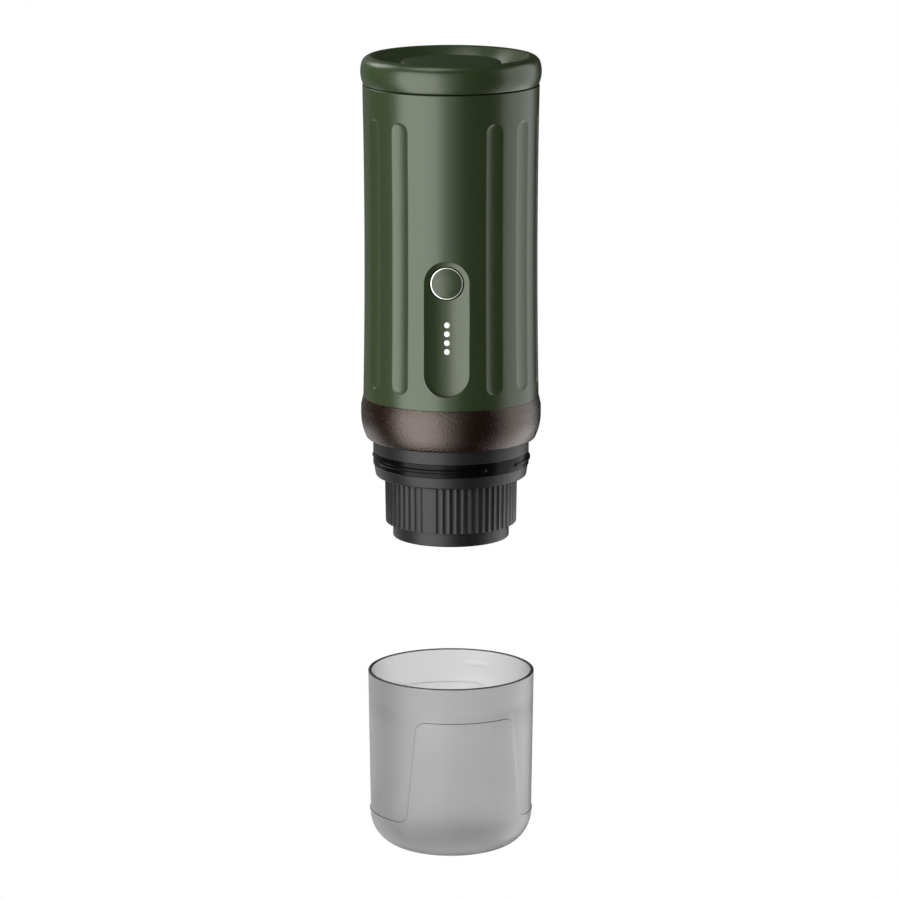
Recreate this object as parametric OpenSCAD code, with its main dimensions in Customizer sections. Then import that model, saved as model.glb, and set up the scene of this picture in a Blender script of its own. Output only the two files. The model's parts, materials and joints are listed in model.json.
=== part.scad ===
// Portable espresso maker hanging over its cup.
// Origin: centre of the cup's foot, on the table. +Z is up, and -Y is the front with the button.

/* [Cup] */
// Height of the cup from foot to rim
cup_h = 73.9; // [68:0.1:80]
// Wall of the cup
cup_wall = 1.5; // [1.2:0.1:2.2]
// Floor of the cup
cup_floor = 2.6; // [2:0.1:4]
// Radius that the cup loses from its rim to its foot
cup_taper = 1.1; // [0.4:0.1:2]
// Radius of the round corner above the foot
cup_corner = 14; // [9:0.5:16]
// Depth of the rim's inside that clears the locking lugs
cup_lock_depth = 13; // [11:0.5:18]
// How far the raised skirt stands out of the cup's wall
skirt_out = 0.3; // [0.2:0.05:0.6]
// Height of the skirt between its two tabs
skirt_low = 15.6; // [12:0.2:24]
// Height of the skirt at its two tabs
skirt_high = 59.4; // [40:0.2:62]
// Angle that a tab takes at its root
tab_root_angle = 89.8; // [70:0.2:100]
// Angle that a tab takes at its top
tab_top_angle = 72.8; // [50:0.2:80]
// Radius of the tabs' corners
tab_round = 4; // [2:0.5:8]
// Turn of the tabs from the front
tab_turn = 14.6; // [0:0.2:45]

/* [Stand-off] */
// Gap between the cup's rim and the band above it while coffee runs
hover = 98.1; // [60:0.1:110]

/* [Locking collar] */
// How far the collar lies inside the sleeve's outside
collar_in = 3.95; // [3.7:0.05:4.5]
// How far the collar hangs below the band
collar_drop = 15.8; // [15:0.1:18]
// How far the collar reaches up inside the band
collar_rise = 6; // [5:0.1:7]
// Outward reach of the locking lugs
lug_out = 0.6; // [0.4:0.05:0.8]
// Height of a locking lug
lug_h = 1.7; // [1.2:0.1:2.4]
// Angle that a locking lug takes
lug_angle = 93.5; // [60:0.5:98]
// Height of the glossy ring that carries the lugs
lock_h = 5.4; // [4:0.1:6]
// Depth of the lugs' middle below the band
lug_depth = 8.4; // [7.8:0.1:8.8]
// Wall of the glossy ring
lock_wall = 1.5; // [1:0.1:2]

/* [Band] */
// Height of the brown band
band_h = 17.15; // [16.5:0.05:18.5]
// How far the band stands out of the sleeve
band_out = 0.92; // [0.6:0.02:1.8]
// How far the band's underside is drawn in from the sleeve's outside
band_tuck = 1.43; // [0.7:0.01:1.7]
// Height of the rounded part of the band
band_roll_h = 9.8; // [8:0.1:11]
// Height of the bevel at the band's top
band_bevel_h = 3.75; // [2:0.05:4.5]
// Floor of the band round the collar
band_floor = 2; // [1.6:0.1:2.6]

/* [Sleeve] */
// Height of the green sleeve
sleeve_h = 127.35; // [126:0.05:132]
// Radius of the sleeve at its ends
sleeve_r = 35.7; // [35.5:0.02:36.2]
// Wall of the sleeve at its ends
sleeve_wall = 2.7; // [2.5:0.02:2.9]
// How far the sleeve draws in at mid height
waist = 0.66; // [0:0.02:0.8]
// Number of scooped grooves round the sleeve
groove_count = 13; // [5:2:13]
// Angle from the front to the first groove
groove_first = 32.5; // [30:0.1:36]
// Width of a groove
groove_w = 7.9; // [5:0.1:9]
// Depth of a groove at its middle
groove_d = 0.62; // [0.3:0.02:0.9]
// Distance from the sleeve's foot to the grooves
groove_low = 5.95; // [4:0.05:12]
// Distance from the grooves to the sleeve's top
groove_high = 12; // [8:0.05:30]

/* [Control panel] */
// Width of the scooped control panel
panel_w = 18.2; // [17:0.1:19]
// Length of the control panel
panel_l = 54.9; // [48:0.1:60]
// Distance from the sleeve's foot to the panel
panel_low = 5.8; // [4:0.1:10]
// Depth of the panel's scoop
scoop_d = 1.7; // [1:0.05:1.9]
// Radius of the button over its ring
button_r = 6.7; // [5.5:0.05:7.2]
// Wall of the button's metal ring
button_rim = 0.6; // [0.4:0.05:1]
// Rise of the button's domed face
button_dome = 0.75; // [0.2:0.05:1]
// Inward travel of the button
button_travel = 0.5; // [0.3:0.05:0.7]
// Radius of a status light
light_r = 1.17; // [0.8:0.01:1.4]
// Spacing of the status lights
light_pitch = 3.61; // [3.2:0.01:4.2]
// Number of status lights
light_count = 4; // [2:1:5]
// Distance from the button to the first light
light_first = 16.95; // [12:0.05:20]

/* [Charging port] */
// Width of the port's rubber cover
port_w = 12.4; // [11:0.1:13.5]
// Length of the port's cover
port_l = 20; // [17:0.1:22]
// Distance from the sleeve's foot to the cover
port_low = 7.8; // [6:0.1:12]
// Width of the charging socket
socket_w = 8.94; // [8.9:0.02:9.1]
// Height of the charging socket
socket_h = 3.16; // [3.1:0.02:3.4]
// Gap between the charging socket and the pump behind it
socket_gap = 0.4; // [0.2:0.05:1]

/* [Lid] */
// Height of the lid above its lower edge
lid_h = 11.2; // [10.6:0.1:13]
// How far the lid stands out of the sleeve
lid_out = 0.8; // [0.6:0.02:1.7]
// How far the lid's lower edge lies inside the sleeve's outside
lid_edge_in = 0.3; // [0:0.02:0.5]
// Width of the lid outside its raised disc
disc_in = 16.2; // [15.5:0.1:20]
// Height of the raised disc
disc_h = 5.7; // [3:0.1:6.4]
// Height of the dish's floor above the lid's lower edge
dish_floor = 3.2; // [3:0.1:3.8]
// Wall of the lid
lid_wall = 1.8; // [1.4:0.1:2]
// Wall of the screw liner
liner_wall = 1.2; // [1:0.1:1.4]
// How far the liner's threaded skirt reaches down into the body
skirt_drop = 6.6; // [5:0.1:7.4]

/* [Water tank] */
// Space between the steel tank and the sleeve
tank_gap = 6; // [5.8:0.1:8]
// Sheet of the tank
tank_wall = 0.6; // [0.5:0.05:1]
// Depth of the tank in a sleeve of the usual height
tank_deep = 53; // [45:0.5:54]
// Reach of the tank's rolled rim
tank_rim = 2; // [1.8:0.05:2.1]
// Wall of the neck outside the tank's rim, which the lid screws onto
neck_wall = 1.3; // [1:0.05:1.6]
// Radius of the water outlet
outlet_r = 1.2; // [1:0.05:1.4]

/* [Drive] */
// Radius of a battery cell in a body of the usual width
cell_size = 9.2; // [9:0.05:9.3]
// Length of a battery cell in a sleeve of the usual height
cell_length = 65.2; // [60:0.1:65.5]
// Radius of the motor in a body of the usual width
motor_size = 12.2; // [10:0.1:12.4]
// Length of the motor in a sleeve of the usual height
motor_length = 31; // [26:0.5:32]
// Radius of the pump in a body of the usual width
pump_size = 10.5; // [9:0.1:10.8]
// Height of the pump in a sleeve of the usual height
pump_height = 28; // [24:0.5:29]
// Throw of the pump's eccentric
cam_throw = 0.8; // [0.4:0.05:1.2]
// Outer radius of the water hoses
hose_r = 2.2; // [1.9:0.05:2.3]

/* [Brew head] */
// How far the ribbed grip lies inside the collar's outside
grip_in = 4.75; // [4.2:0.05:5.2]
// Height of the ribbed grip
grip_h = 19.2; // [16:0.1:22]
// Wall of the grip ring
grip_wall = 1.5; // [1.2:0.1:1.6]
// Number of flutes that would fill the grip
flute_count = 60; // [40:2:72]
// Depth of a flute
flute_d = 0.32; // [0.2:0.02:0.6]
// Flutes left out for the plain land
flute_gap = 2; // [1:1:4]
// Turn of the plain land and of the first locking lug from the front
land_turn = -16.4; // [-30:0.2:30]
// Length of the brew head's screwed skirt
thread_l = 9.9; // [8:0.1:10.4]
// Wall of the brew head
head_wall = 2.2; // [1.8:0.1:2.2]
// How far the plain ring at the outlet lies inside the grip
nozzle_in = 3.3; // [2.6:0.1:4.2]
// Height of the plain ring at the outlet
nozzle_h = 6; // [5:0.1:9]
// Outer radius of the coffee outlet
spout_r = 6.5; // [4:0.1:8]
// Depth of the filter basket
basket_depth = 24; // [20:0.5:25]
// Sheet of the filter basket
basket_wall = 0.6; // [0.5:0.05:0.8]
// Thickness of the silicone gasket
gasket_t = 2.5; // [2:0.1:3]
// Gap between the shower screen and the basket's wall
shower_gap = 1.4; // [1.2:0.1:3]
// Number of rings of holes in the screens
hole_rings = 5; // [2:1:6]
// Radius of a hole in the screens
hole_r = 0.5; // [0.3:0.05:0.6]

/* [Clearances] */
// Gap between pieces that turn or lift past each other
play = 0.3; // [0.2:0.05:0.4]
// Gap between pieces that are fitted together for good
fit = 0.1; // [0.05:0.01:0.15]
// Radial gap of the motor's shaft
shaft_fit = 0.05; // [0.02:0.01:0.08]

/* [Hidden] */
$fn = 96;

green = [0.36, 0.42, 0.31];
brown = [0.30, 0.22, 0.19];
charcoal = [0.24, 0.24, 0.24];
gloss_black = [0.06, 0.06, 0.06];
steel = [0.75, 0.75, 0.76];
smoke = [0.55, 0.55, 0.56, 0.45];
eps = 0.02;

// Heights inside the sleeve, which keep their share of its own
tall = sleeve_h / 127.35;
tank_depth = tank_deep * tall;
cell_l = cell_length * tall;
motor_l = motor_length * tall;
pump_h = pump_height * tall;
// Levels of the body, from the band's underside upwards
z_seat = cup_h + hover;
z_band = z_seat + band_h;
z_sleeve = z_band + sleeve_h;
z_lid = z_sleeve + play;
z_crest = z_lid + lid_h;
// Levels of the brew head, downwards from the collar
z_collar = z_seat - collar_drop;
z_skirt = z_collar + thread_l;
basket_rim_t = 0.8;
z_rim = z_skirt + basket_rim_t;
z_face = z_rim + fit + gasket_t;
z_grip = z_collar - play;
z_grip_foot = z_grip - grip_h;
z_nozzle = z_grip_foot - nozzle_h;
// Levels of the drive, upwards from the collar's top
z_group = z_seat + collar_rise;
group_t = 2.5;
z_chassis = z_group + group_t;
chassis_t = 3.5;
z_deck = z_chassis + chassis_t;
tray_h = 4;
z_cell = z_deck + tray_h / 2;
z_cell_top = z_cell + cell_l;
pump_foot = 6;
z_pump = z_deck + pump_foot;
z_motor = z_pump + pump_h;
z_motor_top = z_motor + motor_l;
// Levels of the water tank, downwards from the neck's rim
z_neck = z_lid + 2.6;
z_tank = z_neck - tank_depth - tank_wall;
heater_t = 4.2;
shield_t = 1;
carrier_t = 2;
z_heater = z_tank - heater_t;
z_shield = z_heater - shield_t;
z_carrier = z_shield - carrier_t;
board_t = 1.6;
z_board = z_carrier - board_t - 1.3;

// Radii that follow from their neighbours
sleeve_bore_r = sleeve_r - sleeve_wall;
collar_r = sleeve_r - collar_in;
band_r = sleeve_r + band_out;
band_foot_r = sleeve_r - band_tuck;
lid_r = sleeve_r + lid_out;
lid_edge_r = sleeve_r - lid_edge_in;
disc_r = lid_r - disc_in;
tank_r = sleeve_bore_r - tank_gap;
tank_rim_r = tank_r + tank_rim;
neck_r = tank_rim_r + neck_wall;
grip_r = collar_r - grip_in;
nozzle_r = grip_r - nozzle_in;
collar_bore_r = grip_r - 0.8;
head_r = collar_bore_r - play;
head_bore_r = head_r - head_wall - 0.4;
basket_r = head_bore_r - play;
shower_r = basket_r - shower_gap;
lug_r = collar_r + lug_out;
cup_lock_r = lug_r + 0.25;
cup_rim_r = cup_lock_r + cup_wall;
cup_bore_r = cup_rim_r - cup_wall;
cup_foot_r = cup_rim_r - cup_taper;
key_r = collar_r + play;
shoulder_r = collar_r + 1.65;
band_bore_r = shoulder_r + 0.2;
deck_r = sleeve_bore_r - play;
liner_r = deck_r - fit;
liner_bore_r = liner_r - 1.4;
shell_bore_r = liner_r + fit;
housing_bore_r = tank_r + 1.3;
screw_r = 1.25;
lock_bore_r = collar_r - lock_wall;
screw_ring_r = (collar_bore_r + lock_bore_r) / 2;
screw_turns = [20, 160, 200, 340];

// Pieces inside the sleeve, seen from above. They keep their share of its width.
share = sleeve_bore_r / 33;
cell_r = cell_size * share;
motor_r = motor_size * share;
pump_r = pump_size * share;
post_r = 2.5 * share;
cell_places = share * [[0, -12], [-19.5, 1], [19.5, 1]];
motor_place = share * [0, 14.5];
hose_place = share * [0, -0.25];
thermostat_place = share * [12, -8];
post_places = share * [[-16, -21], [16, -21], [-20, 18.5], [20, 18.5]];

// Control panel
panel_z0 = z_band + panel_low;
panel_z1 = panel_z0 + panel_l;
button_z = panel_z1 - panel_w / 2;
panel_mid_r = waist_r((panel_low + panel_l / 2) / sleeve_h);
panel_y = -sqrt(panel_mid_r * panel_mid_r - panel_w * panel_w / 4);
scoop_r = (panel_w * panel_w / 4 + scoop_d * scoop_d) / (2 * scoop_d);
panel_back_y = panel_y + scoop_d + 2.2;
panel_flange_w = panel_w + 2.8;
panel_flange_y = -sqrt(deck_r * deck_r - panel_flange_w * panel_flange_w / 4);
button_edge_y = panel_y + 1.25;
board_y = cell_places[0][1] - cell_r - 1.2 - 0.6 * share;
plunger_y = panel_back_y + 0.34 * (board_y - panel_back_y);
switch_y = panel_back_y + 0.51 * (board_y - panel_back_y);

// Charging port
port_z0 = z_band + port_low;
port_z1 = port_z0 + port_l;
port_z = (port_z0 + port_z1) / 2;
port_r = waist_r((port_low + port_l / 2) / sleeve_h);
bezel_w = port_w + 2.6;
bezel_y = sqrt(deck_r * deck_r - bezel_w * bezel_w / 4);
bezel_back_y = bezel_y - 1.6;
socket_back_y = motor_place[1] + pump_r + socket_gap;

// Radius of the sleeve's outside, t running from 0 at its foot to 1 at its top
function waist_r(t) = sleeve_r - 4 * waist * t * (1 - t);
function unit(v) = v / norm(v);
// Points along an arc
function arc(centre, r, from, to, n = 6) =
    [for (i = [0:n]) centre + r * [cos(from + (to - from) * i / n), sin(from + (to - from) * i / n)]];
// One corner of an outline, rounded where its third number is a radius
function corner(a, b, c, n) =
    let (
        p = [b[0], b[1]],
        u = unit([a[0], a[1]] - p),
        v = unit([c[0], c[1]] - p),
        half = acos(u * v) / 2,
        centre = p + unit(u + v) * b[2] / sin(half),
        s = p + u * b[2] / tan(half) - centre,
        e = p + v * b[2] / tan(half) - centre,
        turn = atan2(s[0] * e[1] - s[1] * e[0], s * e),
        from = atan2(s[1], s[0])
    )
    b[2] == 0 ? [p] : arc(centre, b[2], from, from + turn, n);
// Outline from points [x, y, corner radius]
function outline(pts, n = 4) =
    let (last = len(pts) - 1)
    [for (i = [0:last]) each corner(pts[i == 0 ? last : i - 1], pts[i], pts[i == last ? 0 : i + 1], n)];

module tube(r, bore, z0, z1) {
    translate([0, 0, z0])
        difference() {
            cylinder(r = r, h = z1 - z0);
            translate([0, 0, -1])
                cylinder(r = bore, h = z1 - z0 + 2);
        }
}
module rod(r, z0, z1, place = [0, 0]) {
    translate([place[0], place[1], z0])
        cylinder(r = r, h = z1 - z0);
}
// Pill outline standing up, with its foot at the origin
module pill(w, l) {
    translate([0, w / 2])
        circle(d = w);
    translate([0, l - w / 2])
        circle(d = w);
    translate([-w / 2, w / 2])
        square([w, l - w]);
}
// Upright prism of the outline drawn in it, from y0 to y1 with y0 the smaller
module upright(y0, y1) {
    translate([0, y1, 0])
        rotate([90, 0, 0])
            linear_extrude(y1 - y0)
                children();
}
// Hole or stud along Y
module level_rod(r, y0, y1, z, x = 0) {
    translate([x, y1, z])
        rotate([90, 0, 0])
            cylinder(r = r, h = y1 - y0);
}
// Turns what faces +X so that it faces this angle from the front
module facing(angle) {
    rotate([0, 0, angle - 90])
        children();
}

// Cup
module tab(side) {
    half_root = cup_rim_r * sin(tab_root_angle / 2);
    half_top = cup_rim_r * sin(tab_top_angle / 2);
    facing(tab_turn + side)
        rotate([90, 0, 90])
            linear_extrude(cup_rim_r + 2)
                polygon(outline([
                    [-half_root - 2 * tab_round, 0, 0],
                    [half_root + 2 * tab_round, 0, 0],
                    [half_root + 2 * tab_round, skirt_low, 0],
                    [half_root, skirt_low, tab_round],
                    [half_top, skirt_high, tab_round],
                    [-half_top, skirt_high, tab_round],
                    [-half_root, skirt_low, tab_round],
                    [-half_root - 2 * tab_round, skirt_low, 0]
                ]));
}
module cup_solid(grow) {
    rotate_extrude()
        polygon(outline([
            [0, 0, 0],
            [cup_foot_r + grow, 0, cup_corner],
            [cup_rim_r + grow, cup_h, 0.4],
            [0, cup_h, 0]
        ], 8));
}
module cup_skirt() {
    intersection() {
        cup_solid(skirt_out);
        union() {
            cylinder(r = cup_rim_r + 2, h = skirt_low);
            tab(0);
            tab(180);
        }
    }
}
module cup_hollow() {
    foot_r = cup_foot_r - cup_wall;
    rotate_extrude()
        polygon(outline([
            [0, cup_floor, 0],
            [foot_r, cup_floor, cup_corner - cup_wall],
            [key_r, cup_h - cup_lock_depth, 0],
            [cup_bore_r, cup_h - cup_lock_depth, 0],
            [cup_bore_r, cup_h + 1, 0],
            [0, cup_h + 1, 0]
        ], 8));
}
// Keys that pass between the collar's lugs and turn onto them
module cup_keys() {
    key_low = cup_h - lug_depth + lug_h / 2 + 2 * play;
    key_angle = 120 - lug_angle - 8;
    for (i = [0:2])
        facing(land_turn + 60 + 120 * i - key_angle / 2)
            translate([0, 0, key_low])
                rotate_extrude(angle = key_angle)
                    translate([key_r, 0])
                        square([cup_bore_r - key_r + cup_wall / 2, lug_h]);
}
module cup() {
    color(smoke)
        union() {
            difference() {
                union() {
                    cup_solid(0);
                    cup_skirt();
                }
                cup_hollow();
            }
            cup_keys();
        }
}

// Collar, glossy lock ring and brown band
z_lug = z_seat - lug_depth;
z_lock = z_lug - lock_h / 2 + 0.1;
module collar() {
    flange_r = grip_r + 3.7;
    color(charcoal)
        difference() {
            rotate_extrude()
                polygon(outline([
                    [collar_bore_r, z_collar, 0],
                    [flange_r, z_collar, 0.6],
                    [collar_r - 0.35, z_lock - 0.3, 0.3],
                    [collar_r - 0.1, z_lock, 0],
                    [lock_bore_r, z_lock, 0],
                    [lock_bore_r, z_lock + lock_h, 0],
                    [collar_r, z_lock + lock_h, 0],
                    [collar_r, z_seat + band_floor, 0],
                    [shoulder_r, z_seat + band_floor, 0],
                    [shoulder_r, z_seat + collar_rise - 1.5, 0],
                    [collar_r, z_seat + collar_rise - 1.5, 0],
                    [collar_r, z_group, 0],
                    [collar_bore_r, z_group, 0]
                ]));
            screw_holes(screw_r, z_seat - 5, z_group + 1);
        }
}
module lock_ring() {
    color(gloss_black)
        union() {
            tube(collar_r, lock_bore_r + fit / 2, z_lock + fit / 2, z_lock + lock_h - fit / 2);
            for (i = [0:2])
                facing(land_turn + 120 * i - lug_angle / 2)
                    rotate_extrude(angle = lug_angle)
                        polygon([
                            [collar_r - 0.4, z_lug - lug_h / 2],
                            [collar_r + 0.15, z_lug - lug_h / 2],
                            [lug_r, z_lug - lug_h / 2 + 0.4],
                            [lug_r, z_lug + lug_h / 2 - 0.4],
                            [collar_r + 0.15, z_lug + lug_h / 2],
                            [collar_r - 0.4, z_lug + lug_h / 2]
                        ]);
        }
}
module band() {
    top_r = sleeve_r + 0.05;
    roll = ((band_r - band_foot_r) * (band_r - band_foot_r) + band_roll_h * band_roll_h)
        / (2 * (band_r - band_foot_r));
    swing = asin(band_roll_h / roll);
    color(brown)
        rotate_extrude()
            polygon(concat(
                [[collar_r + fit, z_seat]],
                arc([band_r - roll, z_seat + band_roll_h], roll, -swing, 0, 7),
                [
                    [band_r, z_band - band_bevel_h - 0.3],
                    [band_r - 0.06, z_band - band_bevel_h],
                    [top_r + 0.1, z_band - 0.15],
                    [top_r, z_band],
                    [band_bore_r, z_band],
                    [band_bore_r, z_seat + band_floor],
                    [collar_r + fit, z_seat + band_floor]
                ]
            ));
}

// Sleeve with its grooves, and openings for the panel and the port
module sleeve_profile() {
    steps = 8;
    edge = 0.8;
    polygon(concat(
        [for (i = [0:steps - 1]) [waist_r(i / steps), z_band + sleeve_h * i / steps]],
        arc([sleeve_r - edge - 0.05, z_sleeve - edge], edge, 0, 90, 4),
        [[sleeve_bore_r, z_sleeve], [sleeve_bore_r, z_band]]
    ));
}
module groove(low, high) {
    groove_half(low, 1);
    groove_half(high, -1);
}
// Half of a groove, from its round end to mid height, leaning with the sleeve's waist
module groove_half(start, up) {
    rise = groove_d - (sleeve_r - sqrt(sleeve_r * sleeve_r - groove_w * groove_w / 4));
    floor_r = (groove_w * groove_w / 4 + rise * rise) / (2 * rise);
    lean = atan2(waist_r(0.05) - waist_r(0.5), 0.45 * sleeve_h);
    translate([0, 0, z_band + sleeve_h / 2])
        mirror([0, 0, up > 0 ? 0 : 1])
            intersection() {
                translate([20, 0, -sleeve_h / 2 + start])
                    rotate([90, 0, 90])
                        linear_extrude(20)
                            union() {
                                translate([0, groove_w / 2])
                                    circle(d = groove_w);
                                translate([-groove_w / 2, groove_w / 2])
                                    square([groove_w, sleeve_h / 2 - start - groove_w / 2]);
                            }
                translate([waist_r(0.5) - groove_d + floor_r, 0, 0])
                    rotate([0, -lean, 0])
                        translate([0, 0, -sleeve_h / 2])
                            cylinder(r = floor_r, h = sleeve_h / 2 + 2);
            }
}
module sleeve() {
    pitch = (360 - 2 * groove_first) / (groove_count - 1);
    back = (groove_count - 1) / 2;
    color(green)
        difference() {
            rotate_extrude()
                sleeve_profile();
            for (i = [0:groove_count - 1])
                facing(groove_first + pitch * i)
                    groove(i == back ? port_low + port_l + 6 : groove_low, groove_high);
            translate([0, 0, panel_z0])
                upright(-sleeve_r - 1, -sleeve_bore_r * 0.8)
                    pill(panel_w, panel_l);
            translate([0, 0, port_z0])
                upright(sleeve_bore_r * 0.8, sleeve_r + 1)
                    pill(port_w, port_l);
        }
}

// Control panel, button and lights
module scoop() {
    y = panel_y + scoop_d - scoop_r;
    for (z = [panel_z0 + panel_w / 2, button_z])
        translate([0, y, z])
            sphere(r = scoop_r);
    translate([0, y, panel_z0 + panel_w / 2])
        cylinder(r = scoop_r, h = panel_l - panel_w);
}
module control_panel() {
    color(green)
        difference() {
            union() {
                translate([0, 0, panel_z0 + fit])
                    upright(panel_y, panel_back_y)
                        pill(panel_w - 2 * fit, panel_l - 2 * fit);
                translate([0, 0, panel_z0 + (panel_w - panel_flange_w) / 2])
                    upright(panel_flange_y, panel_back_y)
                        pill(panel_flange_w, panel_l + panel_flange_w - panel_w);
            }
            scoop();
            level_rod(button_r + play, panel_y - 1, panel_back_y + 1, button_z);
            for (i = [0:light_count - 1])
                level_rod(light_r + fit / 2, panel_y - 1, panel_back_y + 1, light_z(i));
        }
}
function light_z(i) = button_z - light_first - light_pitch * i;
module button_ring() {
    color(steel)
        difference() {
            level_rod(button_r, button_edge_y - 0.15, panel_back_y - fit, button_z);
            level_rod(button_r - button_rim, button_edge_y - 1, panel_back_y + 1, button_z);
        }
}
module button_cap() {
    cap_r = button_r - button_rim - fit / 2;
    dome_r = (cap_r * cap_r + button_dome * button_dome) / (2 * button_dome);
    flange_y = panel_back_y + play;
    color(green)
        union() {
            intersection() {
                level_rod(cap_r, button_edge_y - button_dome - 1, flange_y, button_z);
                translate([0, button_edge_y - button_dome + dome_r, button_z])
                    sphere(r = dome_r);
            }
            level_rod(cap_r, button_edge_y + 1, flange_y, button_z);
            level_rod(button_r + 1.1, flange_y, flange_y + 0.8, button_z);
            level_rod(1.6, flange_y, plunger_y, button_z);
        }
}
module switch_plunger() {
    color(gloss_black)
        level_rod(1.7, plunger_y, switch_y + 0.6, button_z);
}
module tact_switch() {
    color(steel)
        difference() {
            translate([-3, switch_y, button_z - 3])
                cube([6, board_y - switch_y, 6]);
            level_rod(1.75, switch_y - 1, switch_y + 0.7 + button_travel, button_z);
        }
}
module control_board() {
    color("darkgreen")
        translate([2.1 - panel_w / 2, board_y, panel_z0 + 1])
            cube([panel_w - 4.2, 1.2, panel_l - 4]);
}
module status_lights() {
    color("white")
        for (i = [0:light_count - 1])
            level_rod(light_r, panel_y + scoop_d - 0.08, board_y - 1, light_z(i));
}
module light_chips() {
    color("ivory")
        for (i = [0:light_count - 1])
            translate([-1, board_y - 0.9, light_z(i) - 0.6])
                cube([2, 0.9, 1.2]);
}

// Charging port and its hinged cover
module port_bezel() {
    color(charcoal)
        difference() {
            translate([0, 0, port_z0 + (port_w - bezel_w) / 2])
                upright(bezel_back_y, bezel_y)
                    pill(bezel_w, port_l + bezel_w - port_w);
            socket_outline(fit, bezel_back_y - 1, bezel_y + 1);
        }
}
module socket_outline(grow, y0, y1) {
    w = socket_w + 2 * grow;
    h = socket_h + 2 * grow;
    for (side = [-1, 1])
        level_rod(h / 2, y0, y1, port_z, side * (w - h) / 2);
    translate([-(w - h) / 2, y0, port_z - h / 2])
        cube([w - h, y1 - y0, h]);
}
module charging_socket() {
    tongue_w = socket_w - socket_h + 0.8;
    color(steel)
        union() {
            difference() {
                socket_outline(0, socket_back_y, bezel_y);
                socket_outline(-0.3, socket_back_y + 0.6, bezel_y + 1);
            }
            translate([-tongue_w / 2, socket_back_y, port_z - 0.35])
                cube([tongue_w, bezel_y - 1 - socket_back_y, 0.7]);
        }
}
module port_board() {
    color("darkgreen")
        translate([-socket_w / 2 - 1.5, socket_back_y, port_z - socket_h / 2 - 1.2])
            cube([socket_w + 3, bezel_back_y - fit - socket_back_y, 1.2]);
}
module port_cover() {
    w = port_w - 2 * play;
    color(charcoal)
        intersection() {
            translate([0, 0, port_z0 + play])
                upright(bezel_y + play, port_r + 1)
                    pill(w, port_l - 2 * play);
            rod(port_r, port_z0, port_z1);
        }
}

// Lid
lid_roll = ((lid_r - lid_edge_r) * (lid_r - lid_edge_r) + 25) / (2 * (lid_r - lid_edge_r));
crest_turn = 17;
crest_side = [lid_r - lid_roll * (1 - cos(crest_turn)), z_lid + 5 + lid_roll * sin(crest_turn)];
crest_r = (z_crest - crest_side[1]) / (1 - sin(crest_turn));
crest_x = crest_side[0] - crest_r * cos(crest_turn);
dish_turn = atan2(lid_h - dish_floor, crest_x - disc_r - 1.3);
lip_r = 2.2;
dish_edge = [crest_x - lip_r * sin(dish_turn), z_crest - lip_r * (1 - cos(dish_turn))];
dish_foot = dish_edge - [cos(dish_turn), sin(dish_turn)] * (dish_edge[1] - z_lid - dish_floor) / sin(dish_turn);
function dish_line(offset, z) =
    [dish_foot[0] + offset / sin(dish_turn) + (z - z_lid - dish_floor) / tan(dish_turn), z];
module lid_shell() {
    under = z_lid + dish_floor - lid_wall;
    ceiling = z_crest - 2.2;
    color(green)
        rotate_extrude()
            polygon(concat(
                [[0, under], dish_line(lid_wall, under), dish_line(lid_wall, ceiling)],
                [[shell_bore_r, ceiling], [shell_bore_r, z_lid]],
                arc([lid_r - lid_roll, z_lid + 5], lid_roll, -asin(5 / lid_roll), crest_turn, 8),
                arc([crest_x, z_crest - crest_r], crest_r, crest_turn + 10, 90, 7),
                arc([crest_x, z_crest - lip_r], lip_r, 95, 90 + dish_turn, 4),
                [dish_line(0, z_lid + dish_floor + 0.4)],
                [[dish_foot[0] - 0.5, z_lid + dish_floor], [0, z_lid + dish_floor]]
            ));
}
module lid_disc() {
    z0 = z_lid + dish_floor;
    edge = 0.8;
    wall = 1.8;
    color(green)
        rotate_extrude()
            polygon(concat(
                [[disc_r - wall, z0], [disc_r, z0]],
                arc([disc_r - edge, z0 + disc_h - edge], edge, 0, 90, 4),
                [[0, z0 + disc_h], [0, z0 + disc_h - wall], [disc_r - wall, z0 + disc_h - wall]]
            ));
}
module lid_liner() {
    under = z_lid + dish_floor - lid_wall - fit;
    ceiling = z_crest - 2.2 - fit;
    color(charcoal)
        rotate_extrude()
            polygon([
                [0, under - liner_wall],
                dish_line(lid_wall + liner_wall + fit, under - liner_wall),
                dish_line(lid_wall + liner_wall + fit, liner_seat()),
                [liner_bore_r, liner_seat()],
                [liner_bore_r, z_lid - skirt_drop],
                [liner_r, z_lid - skirt_drop],
                [liner_r, ceiling],
                dish_line(lid_wall + fit, ceiling),
                dish_line(lid_wall + fit, under),
                [0, under]
            ]);
}
// Level where the liner's cone meets its skirt
function liner_seat() =
    z_lid + dish_floor
    + (liner_bore_r - dish_foot[0] - (lid_wall + liner_wall + fit) / sin(dish_turn)) * tan(dish_turn);
module lid_seal() {
    rise = lid_wall + liner_wall + 2 * fit;
    inner = tank_rim_r - 1.4;
    outer = liner_bore_r - fit;
    base = z_neck + fit;
    inner_top = z_lid + dish_floor + (inner - dish_foot[0] - rise / sin(dish_turn)) * tan(dish_turn);
    outer_top = z_lid + dish_floor + (outer - dish_foot[0] - rise / sin(dish_turn)) * tan(dish_turn);
    color("lightgray")
        rotate_extrude()
            polygon([[inner, base], [outer, base], [outer, outer_top], [inner, inner_top]]);
}

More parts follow.
